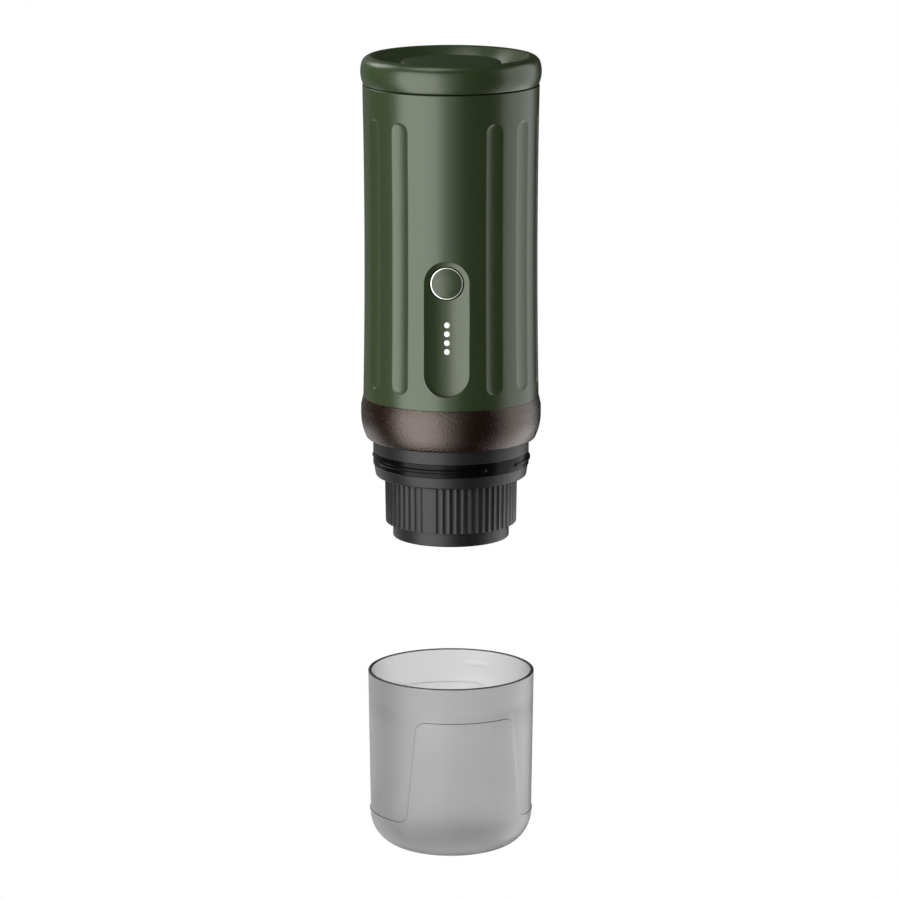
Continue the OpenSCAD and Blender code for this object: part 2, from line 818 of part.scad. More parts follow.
// Water tank, its housing and the heater
module tank_housing() {
    deck = z_lid - skirt_drop - 0.5;
    color(charcoal)
        difference() {
            rotate_extrude()
                polygon([
                    [housing_bore_r, z_carrier + carrier_t],
                    [neck_r, z_carrier + carrier_t],
                    [neck_r, deck - 2.2],
                    [deck_r, deck - 2.2],
                    [deck_r, deck],
                    [neck_r, deck],
                    [neck_r, z_neck],
                    [tank_rim_r + 0.2, z_neck],
                    [tank_rim_r + 0.2, z_neck - 0.8],
                    [housing_bore_r, z_neck - 0.8]
                ]);
        }
}
module water_tank() {
    nipple_r = outlet_r + 0.1;
    color(steel)
        difference() {
            union() {
                rotate_extrude()
                    polygon(outline([
                        [0, z_tank, 0],
                        [tank_r, z_tank, 4],
                        [tank_r, z_neck - 0.8, 0],
                        [tank_rim_r, z_neck - 0.8, 0],
                        [tank_rim_r, z_neck, 0.3],
                        [0, z_neck, 0]
                    ]));
                rod(nipple_r, z_tank - heater_t - 6, z_tank + 1, hose_place);
            }
            rotate_extrude()
                polygon(outline([
                    [0, z_tank + tank_wall, 0],
                    [tank_r - tank_wall, z_tank + tank_wall, 4 - tank_wall],
                    [tank_r - tank_wall, z_neck + 1, 0],
                    [0, z_neck + 1, 0]
                ]));
            rod(outlet_r - 0.4, z_tank - heater_t - 7, z_tank + 2, hose_place);
        }
}
module heater() {
    color("lightgray")
        difference() {
            union() {
                rod(tank_r - 4.4, z_heater, z_tank);
                tube(tank_r - 4, tank_r - 6.5, z_heater + 0.4, z_heater + 3);
            }
            rod(hose_r + play, z_heater - 1, z_tank + 1, hose_place);
        }
}
module heat_shield() {
    color("wheat")
        difference() {
            rod(tank_r - 4, z_shield, z_heater);
            rod(hose_r + play, z_shield - 1, z_heater + 1, hose_place);
            rod(5.2 + play, z_shield - 1, z_heater + 1, thermostat_place);
        }
}
module thermostat() {
    color(steel)
        union() {
            rod(5.2, z_heater - 3, z_heater, thermostat_place);
            for (x = [-3, 3])
                rod(0.5, z_heater - 4, z_heater - 3, thermostat_place + [x, 0]);
        }
}
module heater_carrier() {
    color(charcoal)
        difference() {
            rod(deck_r, z_carrier, z_carrier + carrier_t);
            rod(hose_r + play, z_carrier - 1, z_shield + 1, hose_place);
            rod(5.2 + play, z_carrier - 1, z_shield + 1, thermostat_place);
        }
}

// Electronics
module main_board() {
    color("darkgreen")
        difference() {
            rod(deck_r - 2.2, z_board, z_board + board_t);
            rod(hose_r + play, z_board - 1, z_board + board_t + 1, hose_place);
            for (p = post_places)
                rod(post_r + play, z_board - 1, z_board + board_t + 1, p);
            translate([-panel_w / 2, -deck_r, z_board - 1])
                cube([panel_w, 8 * share, board_t + 2]);
        }
}
module chip(place, size, z0, h) {
    translate([place[0] * share, place[1] * share, z0])
        cube([size[0] * share, size[1] * share, h]);
}
module board_parts() {
    z0 = z_board + board_t;
    color(gloss_black)
        union() {
            chip([-22, -6], [7, 7], z0, 1);
            chip([-9, 8], [5, 6], z0, 1.1);
            chip([6, 9], [4.5, 4.5], z0, 1.2);
            chip([-8, -18], [6, 3], z0, 0.9);
        }
}
module power_leads() {
    color("firebrick")
        for (x = [-4, 4])
            rod(0.7, z_motor_top, z_board, motor_place + [x * share, 0]);
}

// Battery
module cell(i) {
    p = cell_places[i];
    color("royalblue")
        union() {
            rod(cell_r, z_cell, z_cell_top - 0.5, p);
            rod(3, z_cell_top - 0.6, z_cell_top, p);
        }
}
module cell_1() {
    cell(0);
}
module cell_2() {
    cell(1);
}
module cell_3() {
    cell(2);
}
module cell_tray(z0, floor_z0, floor_z1) {
    difference() {
        union() {
            for (p = cell_places)
                rod(cell_r + 1.4, z0, z0 + tray_h, p);
            translate([cell_places[1][0], -9 * share, z0])
                cube([cell_places[2][0] - cell_places[1][0], 7 * share, tray_h]);
        }
        for (p = cell_places)
            rod(cell_r + fit, floor_z0, floor_z1, p);
        for (p = post_places)
            rod(post_r + play, z0 - 1, z0 + tray_h + 1, p);
        rod(hose_r + play, z0 - 1, z0 + tray_h + 1, hose_place);
    }
}
module cell_tray_bottom() {
    color(charcoal)
        cell_tray(z_deck, z_cell, z_deck + tray_h + 1);
}
module cell_tray_top() {
    z0 = z_cell_top - tray_h / 2;
    color(charcoal)
        difference() {
            cell_tray(z0, z0 - 1, z_cell_top);
            for (p = cell_places)
                rod(3.4, z0, z0 + tray_h + 1, p);
        }
}
module cell_links() {
    z0 = z_cell_top + tray_h / 2;
    color(steel)
        for (x = [-19.5, 3])
            translate([x * share, -4 * share, z0])
                cube([16.5 * share, 5 * share, 0.4]);
}

// Motor and pump
module motor_can() {
    translate([motor_place[0], motor_place[1], 0])
        color(steel)
            difference() {
                union() {
                    rod(motor_r, z_motor, z_motor_top);
                    rod(3, z_motor_top, z_motor_top + 1.2);
                }
                rod(motor_r - 1, z_motor + 1, z_motor_top - 1.5);
                rod(1 + shaft_fit, z_motor - 1, z_motor_top + 3);
            }
}
module motor_rotor() {
    translate([motor_place[0], motor_place[1], 0])
        color("peru")
            union() {
                rod(1, z_motor - 8, z_motor_top + 1);
                rod(motor_r - 3.4, z_motor + 5, z_motor_top - 9);
                rod(3.5, z_motor_top - 9, z_motor_top - 3);
                rod(3 * share, z_motor - 6.5, z_motor - 2, [cam_throw, 0]);
            }
}
module pump_body() {
    translate([motor_place[0], motor_place[1], 0])
        color("dimgray")
            difference() {
                union() {
                    rod(pump_r, z_pump + 6, z_motor);
                    rod(pump_r - 2.5, z_pump, z_pump + 6);
                    rod(outlet_r, z_pump - 3, z_pump);
                    level_rod(outlet_r, -pump_r - 1, -pump_r + 1, z_pump + 13);
                }
                rod(5.5 * share, z_motor - 9, z_motor + 1);
                rod(1 + shaft_fit, z_motor - 9.5, z_motor + 1);
            }
}
module pump_mount() {
    translate([motor_place[0], motor_place[1], 0])
        color(gloss_black)
            tube(pump_r - 2.5, hose_r + 0.8, z_deck, z_pump);
}
module inlet_hose() {
    z_bend = z_pump + 13;
    bend = 3.1;
    y_end = motor_place[1] - pump_r - 0.1;
    color("whitesmoke")
        difference() {
            hose_run(hose_r, z_bend, bend, y_end, 0);
            hose_run(outlet_r + 0.15, z_bend, bend, y_end, 1);
        }
}
module hose_run(r, z_bend, bend, y_end, more) {
    translate([hose_place[0], hose_place[1], 0]) {
        rod(r, z_bend + bend, z_heater + 0.1 + more);
        translate([0, bend, z_bend + bend])
            rotate([0, 90, 0])
                rotate([0, 0, -90])
                    rotate_extrude(angle = 90)
                        translate([bend, 0])
                            circle(r = r, $fn = 48);
        level_rod(r, bend, y_end - hose_place[1] + more, z_bend);
    }
}
module outlet_hose() {
    color("whitesmoke")
        translate([motor_place[0], motor_place[1], 0])
            tube(hose_r, outlet_r + 0.15, z_chassis + fit, z_pump - fit);
}

// Chassis and the group head
module screw_holes(r, z0, z1) {
    for (a = screw_turns)
        facing(a)
            rod(r, z0, z1, [screw_ring_r, 0]);
}
module chassis() {
    color(charcoal)
        difference() {
            union() {
                rod(shoulder_r, z_chassis, z_deck);
                for (p = post_places)
                    rod(post_r, z_chassis, z_carrier, p);
            }
            screw_holes(screw_r + 0.25, z_chassis - 1, z_deck + 1);
            rod(hose_r + fit, z_chassis - 1, z_deck + 1, motor_place);
        }
}
module group_head() {
    color("dimgray")
        difference() {
            union() {
                rod(head_r, z_face, z_group + 1);
                rod(screw_ring_r + 2.6, z_group, z_chassis);
                rod(3.5, z_rim + 0.7, z_face + 1);
                rod(outlet_r, z_chassis - 1, z_chassis + 3, motor_place);
            }
            screw_holes(screw_r + 0.25, z_group - 1, z_chassis + 1);
            rod(outlet_r - 0.5, z_face + 3, z_chassis + 4, motor_place);
            level_rod(outlet_r - 0.5, 0, motor_place[1], z_face + 3.5);
            rod(1.2, z_rim + 0.5, z_face + 2.2);
            rod(0.7, z_face - 1, z_face + 3.5, [0, 5]);
        }
}
module body_screws() {
    color(steel)
        for (a = screw_turns)
            facing(a)
                union() {
                    rod(screw_r - fit, z_seat - 4, z_deck + 1, [screw_ring_r, 0]);
                    rod(2.3, z_deck, z_deck + 1.5, [screw_ring_r, 0]);
                }
}
module group_gasket() {
    color("lightgray")
        tube(head_r - 0.3, basket_r - 0.9, z_rim + fit, z_face);
}
// Rings of holes, six more in each ring than in the one inside it
module hole_field(r_out, z0, z1, first = 1) {
    for (ring = [first:hole_rings])
        for (i = [0:6 * ring - 1])
            rotate([0, 0, i * 60 / ring])
                rod(hole_r, z0 - 1, z1 + 1, [r_out * ring / (hole_rings + 0.6), 0]);
}
module shower_screen() {
    color(steel)
        difference() {
            rod(shower_r, z_rim - fit, z_rim + 0.7);
            hole_field(shower_r, z_rim - fit, z_rim + 0.7, 2);
            rod(1.3, z_rim - 2, z_rim + 2);
        }
}
module shower_screw() {
    color(steel)
        union() {
            rod(1.15, z_rim - 0.5, z_face + 2);
            rod(3, z_rim - 1.6, z_rim - fit);
        }
}

// Brew head
module filter_basket() {
    floor_z = z_skirt - basket_depth;
    color(steel)
        rotate_extrude()
            polygon([
                [basket_r - 2, floor_z],
                [basket_r, floor_z],
                [basket_r, z_skirt],
                [head_r - 0.3, z_skirt],
                [head_r - 0.3, z_rim],
                [basket_r - basket_wall, z_rim],
                [basket_r - basket_wall, floor_z + basket_wall],
                [basket_r - 2, floor_z + basket_wall]
            ]);
}
module basket_screen() {
    z0 = z_skirt - basket_depth + basket_wall;
    r = basket_r - basket_wall - 0.05;
    color(steel)
        difference() {
            rod(r, z0, z0 + basket_wall);
            rod(hole_r, z0 - 1, z0 + basket_wall + 1);
            hole_field(r - 2, z0, z0 + basket_wall);
        }
}
module brew_cap() {
    lip_r = nozzle_r - 1.8;
    core_r = grip_r - grip_wall;
    color(charcoal)
        rotate_extrude()
            polygon([
                [lip_r, z_grip_foot],
                [core_r, z_grip_foot],
                [core_r, z_grip],
                [head_r, z_grip],
                [head_r, z_skirt],
                [head_bore_r, z_skirt],
                [head_bore_r, z_grip_foot + 1.8],
                [lip_r, z_grip_foot + 1.8]
            ]);
}
module grip_ring() {
    pitch = 360 / flute_count;
    steps = 6;
    bore = grip_r - grip_wall;
    color(charcoal)
        difference() {
            translate([0, 0, z_grip_foot])
                linear_extrude(grip_h)
                    polygon([
                        for (i = [0:flute_count - flute_gap - 1], j = [0:steps])
                            flute_point(pitch, i, 2 * j / steps - 1)
                    ]);
            rod(bore + fit / 2, z_grip_foot - 1, z_grip + 1);
        }
}
// Point of flute i, side running from -1 to 1 across it
function flute_point(pitch, i, side) =
    let (
        angle = land_turn - 90 + pitch * ((flute_gap + 1) / 2 + i + 0.475 * side),
        r = grip_r - flute_d * (1 - side * side)
    )
    [r * cos(angle), r * sin(angle)];
module spout_plate() {
    lip_r = nozzle_r - 1.8;
    wall = 1.8;
    color(charcoal)
        rotate_extrude()
            polygon([
                [spout_r - wall, z_nozzle + 1],
                [spout_r, z_nozzle + 1],
                [spout_r, z_grip_foot - wall - 0.6],
                [nozzle_r - wall, z_grip_foot - wall],
                [nozzle_r - wall, z_nozzle],
                [nozzle_r - 0.5, z_nozzle],
                [nozzle_r, z_nozzle + 0.5],
                [nozzle_r, z_grip_foot],
                [lip_r - fit, z_grip_foot],
                [lip_r - fit, z_grip_foot + 2.6],
                [lip_r - 2, z_grip_foot + 2.6],
                [lip_r - 2, z_grip_foot + 0.4],
                [spout_r - wall, z_grip_foot - 1.2]
            ]);
}

cup();
collar();
lock_ring();
band();
sleeve();
control_panel();
button_cap();
button_ring();
switch_plunger();
tact_switch();
control_board();
status_lights();
light_chips();
port_bezel();
charging_socket();
port_board();
port_cover();
lid_shell();
lid_disc();
lid_liner();
lid_seal();
tank_housing();
water_tank();
heater();
thermostat();
heat_shield();
heater_carrier();
main_board();
board_parts();
cell_tray_top();
cell_tray_bottom();
cell_1();
cell_2();
cell_3();
cell_links();
motor_can();
motor_rotor();
pump_body();
pump_mount();
inlet_hose();
outlet_hose();
power_leads();
chassis();
group_head();
group_gasket();
shower_screen();
shower_screw();
filter_basket();
basket_screen();
brew_cap();
grip_ring();
spout_plate();
body_screws();
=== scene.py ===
import json
import math

import bmesh
import bpy
from mathutils import Matrix, Vector


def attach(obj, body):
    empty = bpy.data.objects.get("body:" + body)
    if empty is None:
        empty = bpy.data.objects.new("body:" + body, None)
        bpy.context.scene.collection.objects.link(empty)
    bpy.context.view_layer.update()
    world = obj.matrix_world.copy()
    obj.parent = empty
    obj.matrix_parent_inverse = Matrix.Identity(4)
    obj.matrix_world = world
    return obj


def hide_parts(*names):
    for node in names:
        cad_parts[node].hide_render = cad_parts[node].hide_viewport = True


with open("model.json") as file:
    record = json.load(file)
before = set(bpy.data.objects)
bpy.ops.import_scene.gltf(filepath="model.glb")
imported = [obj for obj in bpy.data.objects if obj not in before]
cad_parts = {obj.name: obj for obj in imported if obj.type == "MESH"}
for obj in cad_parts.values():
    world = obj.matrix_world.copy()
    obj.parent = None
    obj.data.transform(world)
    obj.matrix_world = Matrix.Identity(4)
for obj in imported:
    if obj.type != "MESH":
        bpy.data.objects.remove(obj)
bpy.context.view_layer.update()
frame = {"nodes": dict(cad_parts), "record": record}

MM = 0.001
WELD = 0.003
CREASE = 32.0

# Levels shared by the pieces, from the table upwards
CUP_RIM = 73.9
NOZZLE_FOOT = 130.7
GRIP_FOOT = 136.7
GRIP_TOP = 155.9
COLLAR_FOOT = 156.2
SKIRT_TOP = 166.1
BAND_FOOT = 172.0
LUG_Z = BAND_FOOT - 8.4
LOCK_FOOT = LUG_Z - 2.6
GROUP_TOP = 178.0
SLEEVE_FOOT = 189.15
SLEEVE_TOP = 316.5
LID_FOOT = 316.8
DISH_FLOOR = LID_FOOT + 3.2
LID_TOP = 328.0

# Openings of the sleeve for the panel and for the charging port, and the scoop of the panel
PANEL_W, PANEL_LOW, PANEL_HIGH = 18.2, 194.95, 249.85
PORT_W, PORT_LOW, PORT_HIGH = 12.4, 196.95, 216.95
PANEL_RIM_Y, SCOOP_R, SCOOP_DEPTH = -33.99, 25.2, 1.7
BUTTON_Z = PANEL_HIGH - PANEL_W / 2

# Screw threads, the plain land on the grip, and the seat of the lock ring
LEAD = 6.0
LAND_TURN = -16.4
LOCK_R = 31.75


# ---- Shapes ----

def even(start, end, steps):
    """Evenly spaced values from start to end, both of them included."""
    return [start + (end - start) * i / steps for i in range(steps + 1)]


def levels(low, high, step):
    return even(low, high, max(1, round((high - low) / step)))


def arc(cx, cy, r, start, end, steps=8):
    """Points of an arc, angles in degrees."""
    return [(cx + r * math.cos(t), cy + r * math.sin(t))
            for t in map(math.radians, even(start, end, steps))]


def bow(rise, half):
    """Radius of an arc that rises this much over this half width."""
    return (rise ** 2 + half ** 2) / (2 * rise)


def rounded(points, steps=5):
    """Outline with its corners rounded. A point is (x, y) or (x, y, radius)."""
    out = []
    for i, p in enumerate(points):
        if len(p) < 3:
            out.append(p)
            continue
        here, r = Vector(p[:2]), p[2]
        a = (Vector(points[i - 1][:2]) - here).normalized()
        b = (Vector(points[(i + 1) % len(points)][:2]) - here).normalized()
        half = math.acos(max(-1, min(1, a.dot(b)))) / 2
        centre = here + (a + b).normalized() * r / math.sin(half)
        s, e = [here + side * r / math.tan(half) - centre for side in (a, b)]
        first = math.atan2(s.y, s.x)
        turn = math.atan2(s.x * e.y - s.y * e.x, s.dot(e))
        for t in even(0, turn, steps):
            out.append((centre.x + r * math.cos(first + t), centre.y + r * math.sin(first + t)))
    return out


class Quilt:
    """Gathers rows of points and the faces between them."""

    def __init__(self):
        self.points, self.faces = [], []

    def row(self, points):
        first = len(self.points)
        self.points.extend(points)
        return list(range(first, len(self.points)))

    def sew(self, a, b, closed=False):
        for i in range(len(a) if closed else len(a) - 1):
            j = (i + 1) % len(a)
            self.faces.append((a[i], a[j], b[j], b[i]))

    def rows(self, rows, closed=False):
        made = [self.row(r) for r in rows]
        for a, b in zip(made, made[1:]):
            self.sew(a, b, closed)
        return made

    def mesh(self, name):
        mesh = bpy.data.meshes.new(name)
        mesh.from_pydata([tuple(p) for p in self.points], [], self.faces)
        return mesh


def turned_mesh(name, outline, steps=192, closed=True):
    """Solid of revolution about Z. A closed outline is a ring, an open one ends on the axis."""
    quilt, rings = Quilt(), []
    turns = even(0, 2 * math.pi, steps)[:-1]
    for r, z in outline:
        on_axis = r < 1e-6
        rings.append(quilt.row([(0, 0, z)] if on_axis else
                               [(r * math.cos(t), r * math.sin(t), z) for t in turns]))
    for a, b in zip(rings, rings[1:] + (rings[:1] if closed else [])):
        if len(a) == len(b) == steps:
            quilt.sew(a, b, closed=True)
        elif len(b) == steps:
            quilt.faces += [(a[0], b[(i + 1) % steps], b[i]) for i in range(steps)]
        elif len(a) == steps:
            quilt.faces += [(a[i], a[(i + 1) % steps], b[0]) for i in range(steps)]
    return quilt.mesh(name)


def joined(name, *parts):
    """One mesh of several."""
    bm = bmesh.new()
    for part in parts:
        bm.from_mesh(part)
    whole = bpy.data.meshes.new(name)
    bm.to_mesh(whole)
    bm.free()
    return whole


def linked(name, data):
    obj = bpy.data.objects.new(name, data)
    bpy.context.scene.collection.objects.link(obj)
    return obj


def finished(name, mesh, crease=CREASE, weld=WELD, unit=MM):
    """Object of a mesh: welded, facing outwards, in metres, smooth up to the crease angle."""
    bm = bmesh.new()
    bm.from_mesh(mesh)
    bmesh.ops.remove_doubles(bm, verts=bm.verts, dist=weld)
    bmesh.ops.recalc_face_normals(bm, faces=bm.faces)
    bmesh.ops.scale(bm, vec=(unit, unit, unit), verts=bm.verts)
    bm.to_mesh(mesh)
    bm.free()
    mesh.polygons.foreach_set("use_smooth", [True] * len(mesh.polygons))
    mesh.set_sharp_from_angle(angle=math.radians(crease))
    return linked(name, mesh)


def to_front(mesh, y, z):
    """Turns a mesh whose axis is drawn along Z to the front, and moves it to its place."""
    turn = Matrix.Rotation(math.radians(90), 4, "X")
    mesh.transform(Matrix.Translation((0, y, z)) @ turn)
    return mesh


# ---- Geometry Nodes ----

def node_tree(name, kind, inputs, outputs):
    """New node group and the sockets that its inputs come out of."""
    tree = bpy.data.node_groups.new(name, kind)
    for label, socket, *value in inputs:
        made = tree.interface.new_socket(label, in_out="INPUT", socket_type="NodeSocket" + socket)
        if value:
            made.default_value = value[0]
    for label, socket in outputs:
        tree.interface.new_socket(label, in_out="OUTPUT", socket_type="NodeSocket" + socket)
    return tree, tree.nodes.new("NodeGroupInput").outputs


def leave(tree, *results):
    """Plugs the results into the outputs of a node group."""
    for socket, result in zip(tree.nodes.new("NodeGroupOutput").inputs, results):
        tree.links.new(result, socket)


def add(tree, kind, *values, out=0, **settings):
    """Adds a node and returns one of its outputs. Values and sockets are plugged in by order, or by
    name as in in_Scale. The other settings belong to the node itself."""
    node = tree.nodes.new(kind)
    plugs = list(enumerate(values))
    for key, value in settings.items():
        if key.startswith("in_"):
            plugs.append((key[3:].replace("_", " "), value))
        else:
            setattr(node, key, value)
    for key, value in plugs:
        if isinstance(value, bpy.types.NodeSocket):
            tree.links.new(value, node.inputs[key])
        else:
            node.inputs[key].default_value = value
    return node.outputs[out]


def calc(tree, operation, *values, **settings):
    return add(tree, "ShaderNodeMath", *values, operation=operation, **settings)


def painted(tree, shape, material):
    """Ends a geometry tree, whose instances are real by now, with Set Material."""
    leave(tree, add(tree, "GeometryNodeSetMaterial", in_Geometry=shape, in_Material=material))


def copies_tree():
    """Repeats a shape by turns about Z and by shifts, leaving one copy out if asked."""
    tree, given = node_tree("Repeated shape", "GeometryNodeTree", [
        ("Shape", "Geometry"), ("Copies", "Int", 1), ("First turn", "Float", 0.0),
        ("Turn step", "Float", 0.0), ("Shift step", "Vector", (0, 0, 0)), ("Left out", "Int", -1),
        ("Weld", "Float", WELD), ("Finish", "Material"),
    ], [("Shape", "Geometry")])
    tree.is_modifier = True
    index = add(tree, "GeometryNodeInputIndex")
    place = add(tree, "ShaderNodeVectorMath", given["Shift step"], in_Scale=index,
                operation="SCALE")
    points = add(tree, "GeometryNodePoints", given["Copies"], place)
    turn = calc(tree, "MULTIPLY_ADD", index, given["Turn step"], given["First turn"])
    turn = add(tree, "ShaderNodeCombineXYZ", 0.0, 0.0, turn)
    rotation = add(tree, "FunctionNodeEulerToRotation", turn)
    kept = add(tree, "FunctionNodeCompare", data_type="INT", operation="NOT_EQUAL")
    whole = [s for s in kept.node.inputs if s.type == "INT"]
    for socket, value in zip(whole, (index, given["Left out"])):
        tree.links.new(value, socket)
    copies = add(tree, "GeometryNodeInstanceOnPoints", in_Points=points, in_Selection=kept,
                 in_Instance=given["Shape"], in_Rotation=rotation)
    real = add(tree, "GeometryNodeRealizeInstances", copies)
    welded = add(tree, "GeometryNodeMergeByDistance", in_Geometry=real, in_Distance=given["Weld"])
    painted(tree, welded, given["Finish"])
    return tree


def thread_tree():
    """Raises a screw thread on the points whose attribute thread is 1. A negative depth cuts it."""
    tree, given = node_tree("Screw thread", "GeometryNodeTree", [
        ("Shape", "Geometry"), ("Lead", "Float", LEAD), ("Starts", "Int", 2),
        ("Depth", "Float", 0.5), ("Low", "Float", 0.0), ("High", "Float", 1.0),
        ("Run-out", "Float", 0.8), ("Finish", "Material"),
    ], [("Shape", "Geometry")])
    tree.is_modifier = True
    split = add(tree, "ShaderNodeSeparateXYZ", add(tree, "GeometryNodeInputPosition")).node.outputs
    angle = calc(tree, "ARCTAN2", split["Y"], split["X"])
    part = calc(tree, "MULTIPLY", angle, 1 / (2 * math.pi))
    climb = calc(tree, "DIVIDE", split["Z"], given["Lead"])
    turns = calc(tree, "MULTIPLY", calc(tree, "SUBTRACT", climb, part), given["Starts"])
    phase = calc(tree, "SUBTRACT", calc(tree, "FRACT", turns), 0.5)
    away = calc(tree, "ABSOLUTE", phase)
    # Half of the ridge's flat top and half of its root, as shares of the pitch
    crest, root = 0.14, 0.3
    ridge = add(tree, "ShaderNodeMapRange", away, crest, root, 1.0, 0.0,
                interpolation_type="SMOOTHSTEP")
    low_end = calc(tree, "ADD", given["Low"], given["Run-out"])
    high_end = calc(tree, "SUBTRACT", given["High"], given["Run-out"])
    rise = add(tree, "ShaderNodeMapRange", split["Z"], given["Low"], low_end, 0.0, 1.0)
    fall = add(tree, "ShaderNodeMapRange", split["Z"], high_end, given["High"], 1.0, 0.0)
    share = calc(tree, "MULTIPLY", ridge, calc(tree, "MULTIPLY", rise, fall))
    mark = add(tree, "GeometryNodeInputNamedAttribute", "thread", data_type="FLOAT")
    height = calc(tree, "MULTIPLY", share, calc(tree, "MULTIPLY", mark, given["Depth"]))
    outward = add(tree, "ShaderNodeCombineXYZ", split["X"], split["Y"], 0.0)
    outward = add(tree, "ShaderNodeVectorMath", outward, operation="NORMALIZE")
    offset = add(tree, "ShaderNodeVectorMath", outward, in_Scale=height, operation="SCALE")
    moved = add(tree, "GeometryNodeSetPosition", in_Geometry=given["Shape"], in_Offset=offset)
    painted(tree, add(tree, "GeometryNodeRealizeInstances", moved), given["Finish"])
    return tree


COPIES, THREAD = copies_tree(), thread_tree()


def grown(mesh, tree, **values):
    """Mesh that a node tree makes from a drawn mesh. Input names have underscores for spaces."""
    obj = linked("drawing", mesh)
    modifier = obj.modifiers.new("Nodes", "NODES")
    modifier.node_group = tree
    for item in tree.interface.items_tree:
        key = item.name.replace(" ", "_")
        if item.in_out == "INPUT" and key in values:
            modifier[item.identifier] = values[key]
    depsgraph = bpy.context.evaluated_depsgraph_get()
    made = bpy.data.meshes.new_from_object(obj.evaluated_get(depsgraph), depsgraph=depsgraph)
    obj.modifiers.clear()
    bpy.data.objects.remove(obj)
    return made


def threaded(mesh, radius, low, high, depth, finish):
    """Gives the wall at this radius a thread between two levels."""
    mark = mesh.attributes.new("thread", "FLOAT", "POINT")
    for i, v in enumerate(mesh.vertices):
        on_wall = abs(math.hypot(v.co.x, v.co.y) - radius) < 0.01 and low <= v.co.z <= high
        mark.data[i].value = 1.0 if on_wall else 0.0
    return grown(mesh, THREAD, Depth=depth, Low=low, High=high, Finish=finish)


# ---- Finishes ----

def drift_group():
    """Slow change of colour over a surface, from one shade to another."""
    tree, given = node_tree("Colour drift", "ShaderNodeTree", [
        ("Color", "Color", (0.5, 0.5, 0.5, 1)), ("Shade", "Color", (0.4, 0.4, 0.4, 1)),
        ("Scale", "Float", 30.0), ("Amount", "Float", 0.5),
    ], [("Color", "Color")])
    spot = add(tree, "ShaderNodeTexCoord", out="Object")
    noise = add(tree, "ShaderNodeTexNoise", in_Vector=spot, in_Scale=given["Scale"],
                in_Detail=4.0, in_Roughness=0.55)
    share = add(tree, "ShaderNodeMapRange", noise, 0.3, 0.7, 0.0, given["Amount"])
    mix = add(tree, "ShaderNodeMix", share, data_type="RGBA").node
    colours = [s for s in mix.inputs if s.type == "RGBA"]
    tree.links.new(given["Color"], colours[0])
    tree.links.new(given["Shade"], colours[1])
    leave(tree, next(s for s in mix.outputs if s.type == "RGBA"))
    return tree


def grain_group():
    """Fine moulded or blasted grain: a roughness that varies and a height for a bump."""
    tree, given = node_tree("Fine grain", "ShaderNodeTree", [
        ("Grain", "Float", 4000.0), ("Roughness", "Float", 0.4), ("Spread", "Float", 0.1),
        ("Height", "Float", 1.0),
    ], [("Roughness", "Float"), ("Height", "Float")])
    spot = add(tree, "ShaderNodeTexCoord", out="Object")
    fine = add(tree, "ShaderNodeTexNoise", in_Vector=spot, in_Scale=given["Grain"], in_Detail=3.0)
    broad = add(tree, "ShaderNodeTexNoise", in_Vector=spot, in_Scale=90.0, in_Detail=5.0)
    both = calc(tree, "ADD", calc(tree, "MULTIPLY", fine, 0.6),
                calc(tree, "MULTIPLY", broad, 0.4))
    rough = calc(tree, "MULTIPLY_ADD", calc(tree, "SUBTRACT", both, 0.5), given["Spread"],
                 given["Roughness"], use_clamp=True)
    leave(tree, rough, calc(tree, "MULTIPLY", fine, given["Height"]))
    return tree


def lathe_mark_group():
    """Rings that a lathe or a brush leaves round an axis, or across it on a face."""
    tree, given = node_tree("Lathe marks", "ShaderNodeTree", [
        ("Vector", "Vector", (0, 0, 0)), ("Fineness", "Float", 3000.0),
        ("Roughness", "Float", 0.3), ("Spread", "Float", 0.1),
    ], [("Roughness", "Float"), ("Height", "Float")])
    split = add(tree, "ShaderNodeSeparateXYZ", given["Vector"]).node.outputs
    flat = add(tree, "ShaderNodeCombineXYZ", split["X"], split["Y"], 0.0)
    radius = add(tree, "ShaderNodeVectorMath", flat, operation="LENGTH", out="Value")
    along = calc(tree, "ADD", radius, split["Z"])
    noise = add(tree, "ShaderNodeTexNoise", noise_dimensions="1D", in_W=along,
                in_Scale=given["Fineness"])
    rough = calc(tree, "MULTIPLY_ADD", calc(tree, "SUBTRACT", noise, 0.5), given["Spread"],
                 given["Roughness"], use_clamp=True)
    leave(tree, rough, noise)
    return tree


DRIFT, GRAIN, LATHE_MARKS = drift_group(), grain_group(), lathe_mark_group()


def grouped(tree, group, **values):
    """Places a node group in a material."""
    node = tree.nodes.new("ShaderNodeGroup")
    node.node_tree = group
    for key, value in values.items():
        node.inputs[key].default_value = value
    return node


